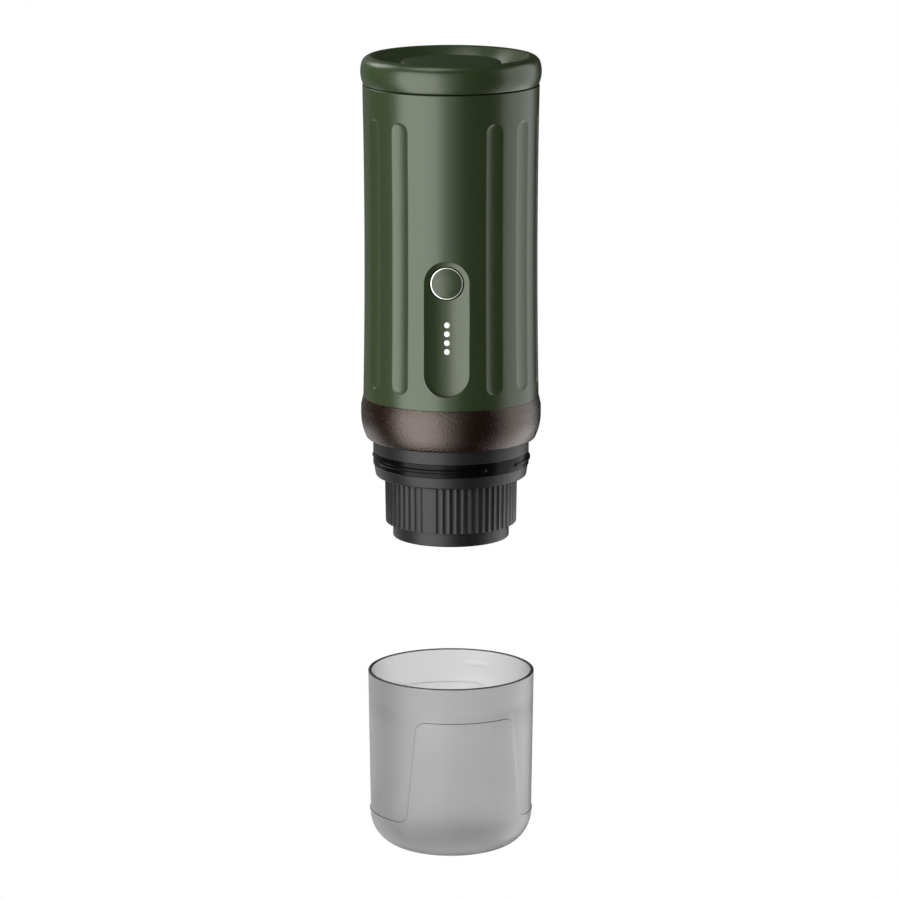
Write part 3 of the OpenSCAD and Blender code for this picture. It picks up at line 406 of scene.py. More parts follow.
def finish(name, colour, shade=None, rough=0.4, spread=0.1, grain=4000.0, bump=0.02, drift=30.0,
           marks=None, **sockets):
    """Material of one finish. Its colour drifts to the shade, which is a fifth darker unless given,
    and its texture is a grain or lathe marks. Sockets of the surface shader are given by name."""
    material = bpy.data.materials.new(name)
    material.use_nodes = True
    tree = material.node_tree
    surface = tree.nodes["Principled BSDF"]
    for key, value in sockets.items():
        surface.inputs[key.replace("_", " ")].default_value = value
    shade = shade or [c * 0.8 for c in colour]
    colours = grouped(tree, DRIFT, Color=(*colour, 1), Shade=(*shade, 1), Scale=drift, Amount=0.6)
    tree.links.new(colours.outputs["Color"], surface.inputs["Base Color"])
    if marks:
        centre, turn, fineness = marks
        texture = grouped(tree, LATHE_MARKS, Fineness=fineness)
        spot = add(tree, "ShaderNodeTexCoord", out="Object")
        mapped = add(tree, "ShaderNodeMapping", spot, in_Location=centre, in_Rotation=turn,
                     vector_type="TEXTURE")
        tree.links.new(mapped, texture.inputs["Vector"])
    else:
        texture = grouped(tree, GRAIN, Grain=grain)
    texture.inputs["Roughness"].default_value = rough
    texture.inputs["Spread"].default_value = spread
    tree.links.new(texture.outputs["Roughness"], surface.inputs["Roughness"])
    if bump:
        relief = add(tree, "ShaderNodeBump", in_Strength=bump, in_Distance=0.0002,
                     in_Height=texture.outputs["Height"])
        tree.links.new(relief, surface.inputs["Normal"])
    return material


def grey(value):
    return (value, value, value)


# Axes of the lathe marks, as a centre and a turn: the main axis, the button's and the motor's
UPRIGHT = ((0, 0, 0), (0, 0, 0))
FRONTAL = ((0, 0, BUTTON_Z * MM), (math.radians(90), 0, 0))
MOTOR_AXIS = ((0, 0.0145, 0), (0, 0, 0))
OLIVE = (0.0165, 0.0275, 0.0085)
SATIN = {"Specular_IOR_Level": 0.6, "Specular_Tint": (0.94, 1, 0.87, 1)}

GREEN = finish("satin_green", OLIVE, (0.0145, 0.0245, 0.0075), rough=0.31, spread=0.06, bump=0.01,
               **SATIN)
GREEN_FACE = finish("button_green", OLIVE, rough=0.3, bump=0.4, marks=(*FRONTAL, 3400.0), **SATIN)
BROWN = finish("grained_brown", (0.005, 0.0015, 0.0005), (0.008, 0.003, 0.001), rough=0.26,
               spread=0.3, grain=2100.0, bump=0.6, drift=1500.0, Specular_IOR_Level=0.72,
               Specular_Tint=(1, 0.85, 0.78, 1))
CHARCOAL = finish("charcoal_plastic", grey(0.009), spread=0.08, grain=7000.0, bump=0.06,
                  Specular_IOR_Level=0.3)
GLOSS_BLACK = finish("gloss_black", grey(0.0015), rough=0.24, spread=0.04, bump=0,
                     Specular_IOR_Level=0.11)
CHROME = finish("button_chrome", (0.78, 0.78, 0.76), rough=0.24, spread=0.05, bump=0.04,
                marks=(*FRONTAL, 3000.0), Metallic=1.0)
STEEL = finish("brushed_steel", grey(0.60), rough=0.26, spread=0.2, bump=0.06,
               marks=(*UPRIGHT, 5000.0), Metallic=1.0)
SMOKE = finish("frosted_smoke", grey(0.70), grey(0.67), rough=0.38, spread=0.04, bump=0,
               Transmission_Weight=1.0, IOR=1.47)
# Near-black clear material that paints shade round the cup's rim and along the skirt's step
SMOKE_PAINTED_SHADE = finish("smoky_rim", grey(0.02), rough=0.12, spread=0.04, bump=0,
                   Transmission_Weight=1.0, IOR=1.47, Specular_IOR_Level=0.3)
LIGHT = finish("status_light", grey(0.3), grey(0.25), rough=0.3, bump=0,
               Emission_Color=(1, 1, 1, 1), Emission_Strength=0.65)
SILICONE = finish("grey_silicone", (0.42, 0.42, 0.41), rough=0.55, bump=0.05)
RUBBER = finish("black_rubber", grey(0.018), rough=0.6, bump=0.12)
BOARD = finish("green_board", (0.012, 0.09, 0.035), (0.010, 0.07, 0.03), rough=0.3, drift=400.0)
CELL_WRAP = finish("cell_wrap", (0.02, 0.09, 0.32), rough=0.28)
COPPER = finish("copper_winding", (0.62, 0.26, 0.12), (0.5, 0.2, 0.09), rough=0.3, bump=0.4,
                marks=(*MOTOR_AXIS, 2500.0), Metallic=1.0)
CAST = finish("cast_aluminium", grey(0.55), rough=0.5, spread=0.3, bump=0.3, Metallic=1.0)
MINERAL = finish("mineral_board", (0.55, 0.47, 0.34), (0.45, 0.38, 0.26), rough=0.8, drift=300.0,
                 bump=0.3)
WHITE = finish("light_guide", (0.8, 0.8, 0.78), rough=0.3)
RED_WIRE = finish("red_wire", (0.5, 0.02, 0.015))


def dress(obj, materials, body, slot, *nodes):
    """Gives a finished piece its materials and its body, and hides the CAD nodes it stands for."""
    if obj.data.materials:
        obj.data.materials.clear()
    for material in materials:
        obj.data.materials.append(material)
    if len(materials) == 1:
        obj.data.polygons.foreach_set("material_index", [0] * len(obj.data.polygons))
    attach(obj, body)
    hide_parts(*nodes)


# ---- Sleeve ----

ROWS = 48
ROW_Z = even(SLEEVE_FOOT + 0.35, SLEEVE_TOP - 0.8, ROWS)
SLEEVE_R, BORE_R, WAIST_DEPTH = 35.7, 33.0, 0.66
GROOVE_FIRST = 32.5
GROOVE_PITCH = (360 - 2 * GROOVE_FIRST) / 12
GROOVE_W, GROOVE_D = 3.95, 0.62
GROOVE_LOW, GROOVE_HIGH = 195.1, 304.5
# How far above the two openings their blocks end, and the foot of the short groove over the port
OPENING_GAP, PORT_GAP, SHORT_GROOVE_UP = 4, 2.5, 6
# Rings from a groove's middle to its edge: share of its half width, and share of its depth
GROOVE_RINGS = ((0.0, 1), (0.2, 1), (0.4, 1), (0.6, 0.97), (0.8, 0.84), (0.9, 0.66),
                (0.96, 0.46), (1.0, 0.2))
GROOVE_FRAME = (0, 0.2, 0.45, 0.7, 1)
OPENING_FRAME = (0, 0.12, 0.3, 0.5, 0.75, 1)


def waist(z):
    t = (z - SLEEVE_FOOT) / (SLEEVE_TOP - SLEEVE_FOOT)
    return SLEEVE_R - 4 * WAIST_DEPTH * t * (1 - t)


def row_above(level):
    return next(j for j, z in enumerate(ROW_Z) if z > level)


def facing(angle, out, side, z):
    """Point by its distance out along a heading from the front and its distance beside it."""
    t = math.radians(angle - 90)
    return (out * math.cos(t) - side * math.sin(t), out * math.sin(t) + side * math.cos(t), z)


def blended(a, b, share):
    """Ring of points part of the way from one ring to another."""
    return [tuple(x + (y - x) * share for x, y in zip(p, q)) for p, q in zip(a, b)]


def pill_ring(w, low, high, rows, across, scale=1.0):
    """Pill outline from its lower right: rows steps on each side, across steps round each end."""
    sides = even(low + w, high - w, rows)
    ends = even(0, math.pi, across)[1:-1]
    w *= scale
    ring = [(w, z) for z in sides]
    ring += [(w * math.cos(t), sides[-1] + w * math.sin(t)) for t in ends]
    ring += [(-w, z) for z in reversed(sides)]
    ring += [(-w * math.cos(t), sides[0] - w * math.sin(t)) for t in ends]
    return ring


def frame_ring(width, zs, across):
    """Edge of a block of the sleeve, in the same order as pill_ring."""
    ends = even(width, -width, across)[1:-1]
    ring = [(width, z) for z in zs] + [(u, zs[-1]) for u in ends]
    return ring + [(-width, z) for z in reversed(zs)] + [(-u, zs[0]) for u in ends]


def sleeve_wedge(quilt, turn, half, blocks, across=16):
    """Wedge of the sleeve at a heading. Each block is (first row, last row, kind, pill), where kind
    is plain, groove or opening, and pill is (half width, low, high)."""
    width = SLEEVE_R * math.sin(math.radians(half))
    samples = even(width, -width, across)

    def at(u, z, r):
        a = math.asin(u / SLEEVE_R)
        return facing(turn, r * math.cos(a), r * math.sin(a), z)

    def outer(ring):
        return [at(u, z, waist(z)) for u, z in ring]

    def inner(ring):
        return [at(u, z, BORE_R) for u, z in ring]

    def across_at(zs):
        return [[(u, z) for u in samples] for z in zs]

    def hollow(ring, share):
        """Ring in the groove's round floor, which a share below 1 brings nearer to the face."""
        rise = GROOVE_D - (SLEEVE_R - math.sqrt(SLEEVE_R ** 2 - GROOVE_W ** 2))
        bend = bow(rise, GROOVE_W)
        out = []
        for u, z in ring:
            r = waist(z)
            side = r * u / SLEEVE_R
            face = math.sqrt(r * r - side * side)
            deep = min(face, r - GROOVE_D + bend - math.sqrt(bend * bend - side * side))
            out.append(facing(turn, face + (deep - face) * share, side, z))
        return out

    def behind(ring):
        """Ring on the bore, straight behind a ring on the sleeve's face."""
        sides = [(waist(z) * u / SLEEVE_R, z) for u, z in ring]
        return [facing(turn, math.sqrt(BORE_R ** 2 - side * side), side, z) for side, z in sides]

    for first, last, kind, pill in blocks:
        zs, rows = ROW_Z[first:last + 1], last - first
        if kind == "plain":
            quilt.rows([outer(ring) for ring in across_at(zs)])
        else:
            w, low, high = pill
            edge = frame_ring(width, zs, across)
            # The pill's rim, a lip round it, and the ring from which its frame spreads to the edge
            rim, lip, start = [pill_ring(w + d, low - d, high + d, rows, across)
                               for d in (0, 0.12, 0.3)]
            if kind == "groove":
                rings = [hollow(pill_ring(w, low, high, rows, across, scale), share)
                         for scale, share in GROOVE_RINGS]
                shares = GROOVE_FRAME
            else:
                back, hole = inner(edge), behind(rim)
                brink = blended(outer(rim), hole, 0.05)
                rings = [back, blended(back, hole, 0.5), hole, blended(hole, brink, 0.5), brink]
                shares = OPENING_FRAME
            rings.append(outer(lip))
            rings += [outer(blended(start, edge, share)) for share in shares]
            quilt.rows(rings, closed=True)
        if kind != "opening":
            quilt.rows([inner(ring) for ring in across_at(zs)])
    low, high = ROW_Z[0], ROW_Z[-1]
    top = [(waist(high), high)] + arc(waist(high) - 0.5, SLEEVE_TOP - 0.5, 0.5, 0, 90, 6)
    top += [(BORE_R + 0.2, SLEEVE_TOP), (BORE_R, SLEEVE_TOP - 0.2), (BORE_R, high)]
    foot = [(waist(low), low), (SLEEVE_R - 0.02, SLEEVE_FOOT + 0.12),
            (SLEEVE_R - 0.15, SLEEVE_FOOT), (BORE_R, SLEEVE_FOOT), (BORE_R, low)]
    for edge in (top, foot):
        quilt.rows([[at(u, z, r) for u in samples] for r, z in edge])


def sleeve():
    """Grooved sleeve: one groove repeated, and wedges of their own at the panel and the port."""
    one, rest = Quilt(), Quilt()
    groove = (GROOVE_W, GROOVE_LOW, GROOVE_HIGH)
    sleeve_wedge(one, 90, GROOVE_PITCH / 2, [(0, ROWS, "groove", groove)])
    # The place left out, the seventh of 13, is straight behind, where the port is
    sides = grown(one.mesh("groove"), COPIES, Copies=13, Left_out=6, Finish=GREEN,
                  First_turn=math.radians(GROOVE_FIRST - 90), Turn_step=math.radians(GROOVE_PITCH))
    split = row_above(PANEL_HIGH + OPENING_GAP)
    sleeve_wedge(rest, 0, GROOVE_FIRST - GROOVE_PITCH / 2, [
        (0, split, "opening", (PANEL_W / 2, PANEL_LOW, PANEL_HIGH)),
        (split, ROWS, "plain", None)], across=32)
    split = row_above(PORT_HIGH + PORT_GAP)
    sleeve_wedge(rest, 180, GROOVE_PITCH / 2, [
        (0, split, "opening", (PORT_W / 2, PORT_LOW, PORT_HIGH)),
        (split, ROWS, "groove", (GROOVE_W, PORT_HIGH + SHORT_GROOVE_UP, GROOVE_HIGH))])
    shell = finished("sleeve_shell", joined("sleeve_shell", sides, rest.mesh("front_and_back")), 50)
    dress(shell, [GREEN], "machine", "green_coat", "sleeve")


# ---- Control panel ----

def scoop_y(x, z):
    """Face of the scoop, which is a round trough with half round ends."""
    over = max(0.0, z - BUTTON_Z, PANEL_LOW + PANEL_W / 2 - z)
    away = min(x * x + over * over, (PANEL_W / 2) ** 2)
    return PANEL_RIM_Y + SCOOP_DEPTH - SCOOP_R + math.sqrt(SCOOP_R ** 2 - away)


def panel():
    """Scooped insert: rings of faces round the button's hole, and rows below them to its foot."""
    w, low, back = PANEL_W / 2 - 0.1, PANEL_LOW + PANEL_W / 2, -30.0
    hole, cut = 7.0, 9.3
    corner = math.atan2(cut, w)
    left, right = math.pi + corner, 2 * math.pi - corner
    turns = even(0, math.pi, 48) + even(math.pi, left, 10)[1:]
    turns += even(left, right, 24)[1:] + even(right, 2 * math.pi, 10)[1:-1]

    def outer(t):
        reach = w
        if t > math.pi:
            reach = min(w / max(abs(math.cos(t)), 1e-9), cut / max(abs(math.sin(t)), 1e-9))
        return reach * math.cos(t), BUTTON_Z + reach * math.sin(t)

    quilt = Quilt()

    def both(rings, closed=False):
        """Sews the face and the back of the insert over the same rings."""
        front = quilt.rows([[(x, scoop_y(x, z), z) for x, z in ring] for ring in rings], closed)
        return front, quilt.rows([[(x, back, z) for x, z in ring] for ring in rings], closed)

    rim = [outer(t) for t in turns]
    bore = [(hole * math.cos(t), BUTTON_Z + hole * math.sin(t)) for t in turns]
    front, rear = both([blended(bore, rim, f) for f in (0, 0.04, 0.25, 0.5, 0.75, 0.97, 1)], True)
    quilt.sew(front[0], rear[0], closed=True)
    seam = [i for i, t in enumerate(turns) if left - 1e-6 <= t <= right + 1e-6]
    side = [*range(seam[-1], len(turns)), *range(seam[0] + 1)]
    quilt.sew([front[-1][i] for i in side], [rear[-1][i] for i in side])
    shares = [rim[i][0] / w for i in seam]
    rows = []
    for z in even(BUTTON_Z - cut, low, 14) + [z for _, z in arc(0, low, w, 0, -90, 20)[1:]]:
        reach = math.sqrt(max(w * w - max(0, low - z) ** 2, 1e-4))
        rows.append([(share * reach, z) for share in shares])
    front, rear = both(rows)
    for k in (0, -1):
        quilt.sew([row[k] for row in front], [row[k] for row in rear])
    quilt.sew(front[-1], rear[-1])
    scoop = finished("control_panel_scoop", quilt.mesh("panel"), 40)
    dress(scoop, [GREEN], "machine", "green_plastic", "control_panel")


def button():
    """Domed button in its metal ring, drawn along the axis with the front at the top."""
    y, foot = PANEL_RIM_Y + 1.25, -2.4
    cap_r, dome_r, crown = 6.03, 25.0, 0.73
    cap = []
    for t in even(0, math.pi / 2, 24)[:-2]:
        r = cap_r * math.sin(t)
        cap.append((r, dome_r * (math.cos(math.asin(r / dome_r)) - 1) + crown))
    cap += arc(cap_r - 0.15, -0.12, 0.15, 60, 0, 4) + [(cap_r, foot - 0.2), (0, foot - 0.2)]
    face = to_front(turned_mesh("button_face", cap, 128, closed=False), y, BUTTON_Z)
    dress(finished("button_face", face), [GREEN_FACE], "button", "green_plastic", "button_cap")
    ring = [(6.1, 0.22), (6.13, 0.25), (6.2, 0.25)] + arc(6.2, -0.25, 0.5, 78, 20, 7)
    ring += [(6.7, -0.2), (6.7, foot), (6.1, foot)]
    rim = to_front(turned_mesh("button_rim", ring, 128), y, BUTTON_Z)
    dress(finished("button_rim", rim), [CHROME], "button", "chrome_trim", "button_ring")


def status_lights():
    """Four lenses in a row below the button."""
    lens = rounded([(0, 0.05), (0.7, 0.05), (1.17, 0.02, 0.06), (1.17, -6), (0, -6)])
    first, pitch = BUTTON_Z - 16.95, 3.61
    mesh = to_front(turned_mesh("lens", lens, 40, closed=False), scoop_y(0, first), first)
    row = grown(mesh, COPIES, Copies=4, Shift_step=(0, 0, -pitch), Finish=LIGHT)
    lenses = finished("status_lenses", row)
    dress(lenses, [LIGHT], "machine", "white_plastic", "status_lights")


# ---- Band, collar and brew head ----

def band():
    """Brown band: a rounded lower edge, an upright wall and a bevel up to the sleeve."""
    wall, foot, rise = 36.62, 34.27, 9.8
    roll = bow(wall - foot, rise)
    swing = math.degrees(math.asin(rise / roll))
    outline = [(31.95, BAND_FOOT + 0.1), (32.1, BAND_FOOT), (33.95, BAND_FOOT + 0.02),
               (34.16, BAND_FOOT + 0.12)]
    outline += arc(wall - roll, BAND_FOOT + rise, roll, -swing, 0, 24)[1:]
    outline += [(wall, BAND_FOOT + 13.0)]
    outline += rounded([(wall, BAND_FOOT + 12.6), (wall - 0.02, SLEEVE_FOOT - 3.75, 0.3),
                        (35.82, SLEEVE_FOOT - 0.16)])[1:]
    outline += [(35.74, SLEEVE_FOOT), (33.6, SLEEVE_FOOT), (33.6, BAND_FOOT + 2),
                (31.95, BAND_FOOT + 2)]
    brown = finished("brown_band", turned_mesh("brown_band", outline, 256), 40)
    dress(brown, [BROWN], "machine", "brown_metal", "band")


def collar():
    """Grey collar whose bore is threaded for the brew head."""
    bore, seat, flange = 26.2, 30.25, 33.4
    low, high = COLLAR_FOOT + 0.3, GROUP_TOP - 0.3
    outline = rounded([
        (bore, COLLAR_FOOT), (30.7, COLLAR_FOOT, 0.7), (31.4, LOCK_FOOT - 0.3, 0.35),
        (31.62, LOCK_FOOT, 0.05), (seat, LOCK_FOOT), (seat, LOCK_FOOT + 5.4),
        (LOCK_R, LOCK_FOOT + 5.4, 0.12), (LOCK_R, BAND_FOOT + 2), (flange, BAND_FOOT + 2),
        (flange, GROUP_TOP - 1.5), (LOCK_R, GROUP_TOP - 1.5), (LOCK_R, GROUP_TOP),
        (bore, GROUP_TOP)])
    outline += [(bore, z) for z in reversed(levels(low, high, 0.3))]
    mesh = threaded(turned_mesh("collar", outline), bore, low, SKIRT_TOP + 1.5, 0.6, CHARCOAL)
    dress(finished("threaded_collar", mesh), [CHARCOAL], "machine", "grey_plastic", "collar")


def lock_ring():
    """Glossy ring with three lugs that end in round noses."""
    seat = 30.3
    ring = rounded([(seat, LOCK_FOOT + 0.05), (LOCK_R, LOCK_FOOT + 0.05, 0.08),
                    (LOCK_R, LOCK_FOOT + 5.35, 0.08), (seat, LOCK_FOOT + 5.35)])
    lug = [(-0.4, -0.85), (0.1, -0.85), (0.28, -0.8), (0.5, -0.52), (0.58, -0.36), (0.6, -0.2)]
    lug += [(out, -h) for out, h in reversed(lug)]
    half, nose = 46.75, 4.5
    # Headings along a lug, each with the share of its full section
    turns = [(nose * (1 - math.cos(t)) - half, math.sin(t)) for t in even(0, math.pi / 2, 8)]
    ends = [(-a, share) for a, share in reversed(turns)]
    turns += [(a, 1) for a in even(nose - half, half - nose, 60)[1:-1]] + ends
    rows = []
    for a, share in turns:
        rows.append([facing(LAND_TURN + a, LOCK_R + (out * share if out > 0 else out), 0,
                            LUG_Z + h * max(share, 0.02)) for out, h in lug])
    quilt = Quilt()
    quilt.rows(rows, closed=True)
    for row in (rows[0], rows[-1]):
        quilt.faces.append(tuple(quilt.row(row)))
    lugs = grown(quilt.mesh("lug"), COPIES, Copies=3, Turn_step=math.radians(120),
                 Finish=GLOSS_BLACK)
    whole = finished("lugged_lock_ring", joined("lock_ring", turned_mesh("ring", ring, 256), lugs))
    dress(whole, [GLOSS_BLACK], "machine", "black_plastic", "lock_ring")


def grip_ring():
    """Ribbed grip: one flute repeated, and a plain land in place of two."""
    pitch, core, foot_r, top_r = 6.0, 25.55, 26.72, 27.0
    flute_w, flute_d = 0.95, 0.34

    def column(angle, depth):
        low, high = foot_r - depth, top_r - depth
        return [facing(angle, r, 0, z) for r, z in (
            (core, GRIP_FOOT), (low - 0.3, GRIP_FOOT), (low - 0.08, GRIP_FOOT + 0.08),
            (low, GRIP_FOOT + 0.3), (high, GRIP_TOP - 0.3), (high - 0.08, GRIP_TOP - 0.08),
            (high - 0.3, GRIP_TOP), (core, GRIP_TOP))]

    one, land = Quilt(), Quilt()
    sides = [-1, -0.97, -flute_w] + even(-0.9, 0.9, 12) + [flute_w, 0.97, 1]
    one.rows([column(90 + pitch / 2 * s, flute_d * (1 - min(1, abs(s) / flute_w) ** 2))
              for s in sides], closed=True)
    flutes = grown(one.mesh("flute"), COPIES, Copies=58, Finish=CHARCOAL,
                   First_turn=math.radians(LAND_TURN - 90 + 1.5 * pitch),
                   Turn_step=math.radians(pitch))
    land.rows([column(LAND_TURN + a, 0) for a in even(-pitch, pitch, 12)], closed=True)
    grip = finished("ribbed_grip", joined("grip", flutes, land.mesh("land")), 50)
    dress(grip, [CHARCOAL], "brew_head", "grey_plastic", "grip_ring")


def brew_cap():
    """Core of the brew head with its threaded skirt."""
    skirt, bore, hole, step = 25.9, 23.3, 21.9, GRIP_FOOT + 1.8
    low, high = GRIP_TOP + 0.1, SKIRT_TOP - 0.35
    outline = [(hole, GRIP_FOOT), (25.5, GRIP_FOOT), (25.5, GRIP_TOP), (25.55, GRIP_TOP + 0.02)]
    outline += [(skirt, z) for z in levels(low, high, 0.25)]
    outline += [(25.6, SKIRT_TOP), (bore + 0.2, SKIRT_TOP), (bore, SKIRT_TOP - 0.2), (bore, step),
                (hole, step)]
    mesh = threaded(turned_mesh("cap", outline), skirt, low, high, -0.55, CHARCOAL)
    dress(finished("threaded_brew_cap", mesh), [CHARCOAL], "brew_head", "grey_plastic", "brew_cap")


def spout_plate():
    """Nozzle ring: a hub with a round hole, a plate and a rim."""
    foot, lip = NOZZLE_FOOT, NOZZLE_FOOT + 6
    outline = rounded([
        (4.7, foot + 1, 0.2), (6.5, foot + 1, 0.5), (6.5, lip - 2.4, 0.8), (21.9, lip - 1.8, 0.5),
        (21.9, foot, 0.4), (23.7, foot, 0.55), (23.7, lip), (21.8, lip), (21.8, lip + 2.6),
        (19.9, lip + 2.6), (19.9, lip + 0.4, 0.5), (4.7, lip - 1.2, 0.5)])
    ring = finished("spout_ring", turned_mesh("spout_ring", outline))
    dress(ring, [CHARCOAL], "brew_head", "grey_plastic", "spout_plate")


# ---- Lid ----

LID_R, DISC_R, DISC_GAP = 36.5, 20.3, 1.3


def lid_lines():
    """Outlines of the lid's side and crest, and the upper end and slope of the dish's wall."""
    rise, half, turn, lip = 1.1, 5, 17, 2.2
    roll = bow(rise, half)
    swing = math.degrees(math.asin(half / roll))
    side = arc(LID_R - roll, LID_FOOT + half, roll, -swing, turn, 20)
    top_x, top_z = side[-1]
    crest_r = (LID_TOP - top_z) / (1 - math.sin(math.radians(turn)))
    crest_x = top_x - crest_r * math.cos(math.radians(turn))
    run = crest_x - DISC_R - DISC_GAP
    slope = math.degrees(math.atan2(LID_TOP - DISH_FLOOR, run))
    crest = arc(crest_x, LID_TOP - crest_r, crest_r, turn, 90, 14)[1:]
    crest += arc(crest_x, LID_TOP - lip, lip, 90, 90 + slope, 10)[1:]
    return side, crest, crest[-1], math.radians(slope)


LID_SIDE, LID_CREST, DISH_EDGE, DISH_SLOPE = lid_lines()


def dish(offset, z):
    """Point at a level of the dish's sloping wall, or outside it by an offset."""
    edge_x, edge_z = DISH_EDGE
    run = (z - edge_z) / math.tan(DISH_SLOPE)
    return (edge_x + run + offset / math.sin(DISH_SLOPE), z)


def lid_shell():
    """Green lid with its dish, which has a ledge for the disc."""
    wall, bore, under = 1.8, 32.7, DISH_FLOOR - 1.8
    ceiling, low, ledge = LID_TOP - 2.2, LID_SIDE[0][0], 20.9
    outline = [(0, under), dish(wall, under), dish(wall, ceiling - 0.1), (bore, ceiling),
               (bore, LID_FOOT), (low - 0.35, LID_FOOT), (low - 0.1, LID_FOOT + 0.03),
               (low + 0.03, LID_FOOT + 0.15)]
    outline += LID_SIDE[1:] + LID_CREST
    outline += rounded([dish(0, DISH_EDGE[1] - 0.5), (*dish(0, DISH_FLOOR), 1.2),
                        (ledge, DISH_FLOOR)])
    outline += [*rounded([(ledge, DISH_FLOOR), (ledge - 0.15, DISH_FLOOR - 0.35, 0.1),
                          (ledge - 0.55, DISH_FLOOR - 0.35)])[1:], (0, DISH_FLOOR - 0.35)]
    lid = finished("green_lid", turned_mesh("green_lid", outline, 256, closed=False))
    dress(lid, [GREEN], "lid", "green_coat", "lid_shell")


def lid_disc():
    """Raised disc with a rounded edge, hollow below."""
    bore, edge = 18.5, 0.9
    top, ceiling, foot = DISH_FLOOR + 5.7, DISH_FLOOR + 3.9, DISH_FLOOR - 0.3
    outline = [(0, ceiling), (bore, ceiling), (bore, foot), (DISC_R - 0.15, foot),
               (DISC_R, foot + 0.2)]
    outline += arc(DISC_R - edge, top - edge, edge, 0, 90, 8) + [(0, top)]
    disc = finished("green_lid_disc", turned_mesh("green_lid_disc", outline, 256, closed=False))
    dress(disc, [GREEN], "lid", "green_coat", "lid_disc")


def lid_liner():
    """Screw liner in the shape of its solid, with a thread inside its skirt."""
    bore, wall, foot = 31.2, 32.6, LID_FOOT - 6.6
    under, ceiling, low = LID_FOOT + 1.3, LID_TOP - 2.3, LID_FOOT - 6.3
    run = bore - DISH_EDGE[0] - 3.1 / math.sin(DISH_SLOPE)
    seat = DISH_EDGE[1] + run * math.tan(DISH_SLOPE)
    outline = [(0, under - 1.2), dish(3.1, under - 1.2), dish(3.1, seat - 0.2)]
    outline += [(bore, z) for z in reversed(levels(low, seat - 0.4, 0.25))]
    outline += [(bore + 0.2, foot), (wall - 0.2, foot), (wall, foot + 0.2), (wall, ceiling),
                dish(1.9, ceiling), dish(1.9, under), (0, under)]
    mesh = turned_mesh("liner", outline, closed=False)
    mesh = threaded(mesh, bore, low, foot + 9.0, -0.55, CHARCOAL)
    dress(finished("threaded_lid_liner", mesh), [CHARCOAL], "lid", "grey_plastic", "lid_liner")


def tank_neck():
    """Tank housing with the thread that the lid turns on."""
    foot, deck, top = 260.5, LID_FOOT - 7.1, LID_FOOT + 2.6
    bore, neck = 28.3, 30.3
    outline = [(bore, foot), (neck, foot), (neck, deck - 2.2), (32.7, deck - 2.2), (32.7, deck)]
    outline += [(neck, z) for z in levels(deck, top - 0.3, 0.25)]
    outline += [(neck - 0.2, top), (29.2, top), (29.2, top - 0.8), (bore, top - 0.8)]
    mesh = threaded(turned_mesh("neck", outline), neck, deck + 0.3, top - 0.3, 0.6, CHARCOAL)
    neck_piece = finished("threaded_tank_neck", mesh)
    dress(neck_piece, [CHARCOAL], "machine", "grey_plastic", "tank_housing")


# ---- Cup ----

CUP_R, CUP_FOOT_R, CUP_CORNER, CUP_FLARE = 34.0, 33.0, 14.0, 1.1
SKIRT_LOW, SKIRT_HIGH, SKIRT_PROUD = 15.6, 59.4, 0.3
# Headings of the two tabs of the skirt, and half the angle a tab takes at its root and its top
TAB_TURNS, TAB_ROOT, TAB_TOP = (14.6, 194.6), 44.9, 36.4


def skirt_edge():
    """Upper edge of the raised skirt with its two tabs, as (angle from the front, height)."""
    side_r, corner, spacing = CUP_R + 0.1, 4, 1.2
    root, top = [side_r * math.sin(math.radians(a)) for a in (TAB_ROOT, TAB_TOP)]
    half = rounded([(-root - 9, SKIRT_LOW), (-root, SKIRT_LOW, corner),
                    (-top, SKIRT_HIGH, corner), (0, SKIRT_HIGH)], steps=10)
    dense = []
    for (x0, z0), (x1, z1) in zip(half, half[1:]):
        count = max(1, round(math.hypot(x1 - x0, z1 - z0) / spacing))
        dense += list(zip(even(x0, x1, count), even(z0, z1, count)))[:-1]
    tab = dense + [half[-1]] + [(-x, z) for x, z in reversed(dense)]
    tab = [(math.degrees(math.asin(x / side_r)), z) for x, z in tab]
    end, edge = tab[-1][0], []
    for turn in TAB_TURNS:
        edge += [(turn + a, z) for a, z in tab]
        edge += [(turn + a, SKIRT_LOW) for a in even(end, 180 - end, 60)[1:-1]]
    return edge


def key_rise(angle):
    """How far one of the three keys, which lie between the lugs, stands in from the wall here."""
    rise, half, ramp = 0.3, 10.5, 3
    off = min(abs((angle - LAND_TURN - 60 - 120 * k + 180) % 360 - 180) for k in range(3))
    return rise * min(1, max(0, (half - off) / ramp))


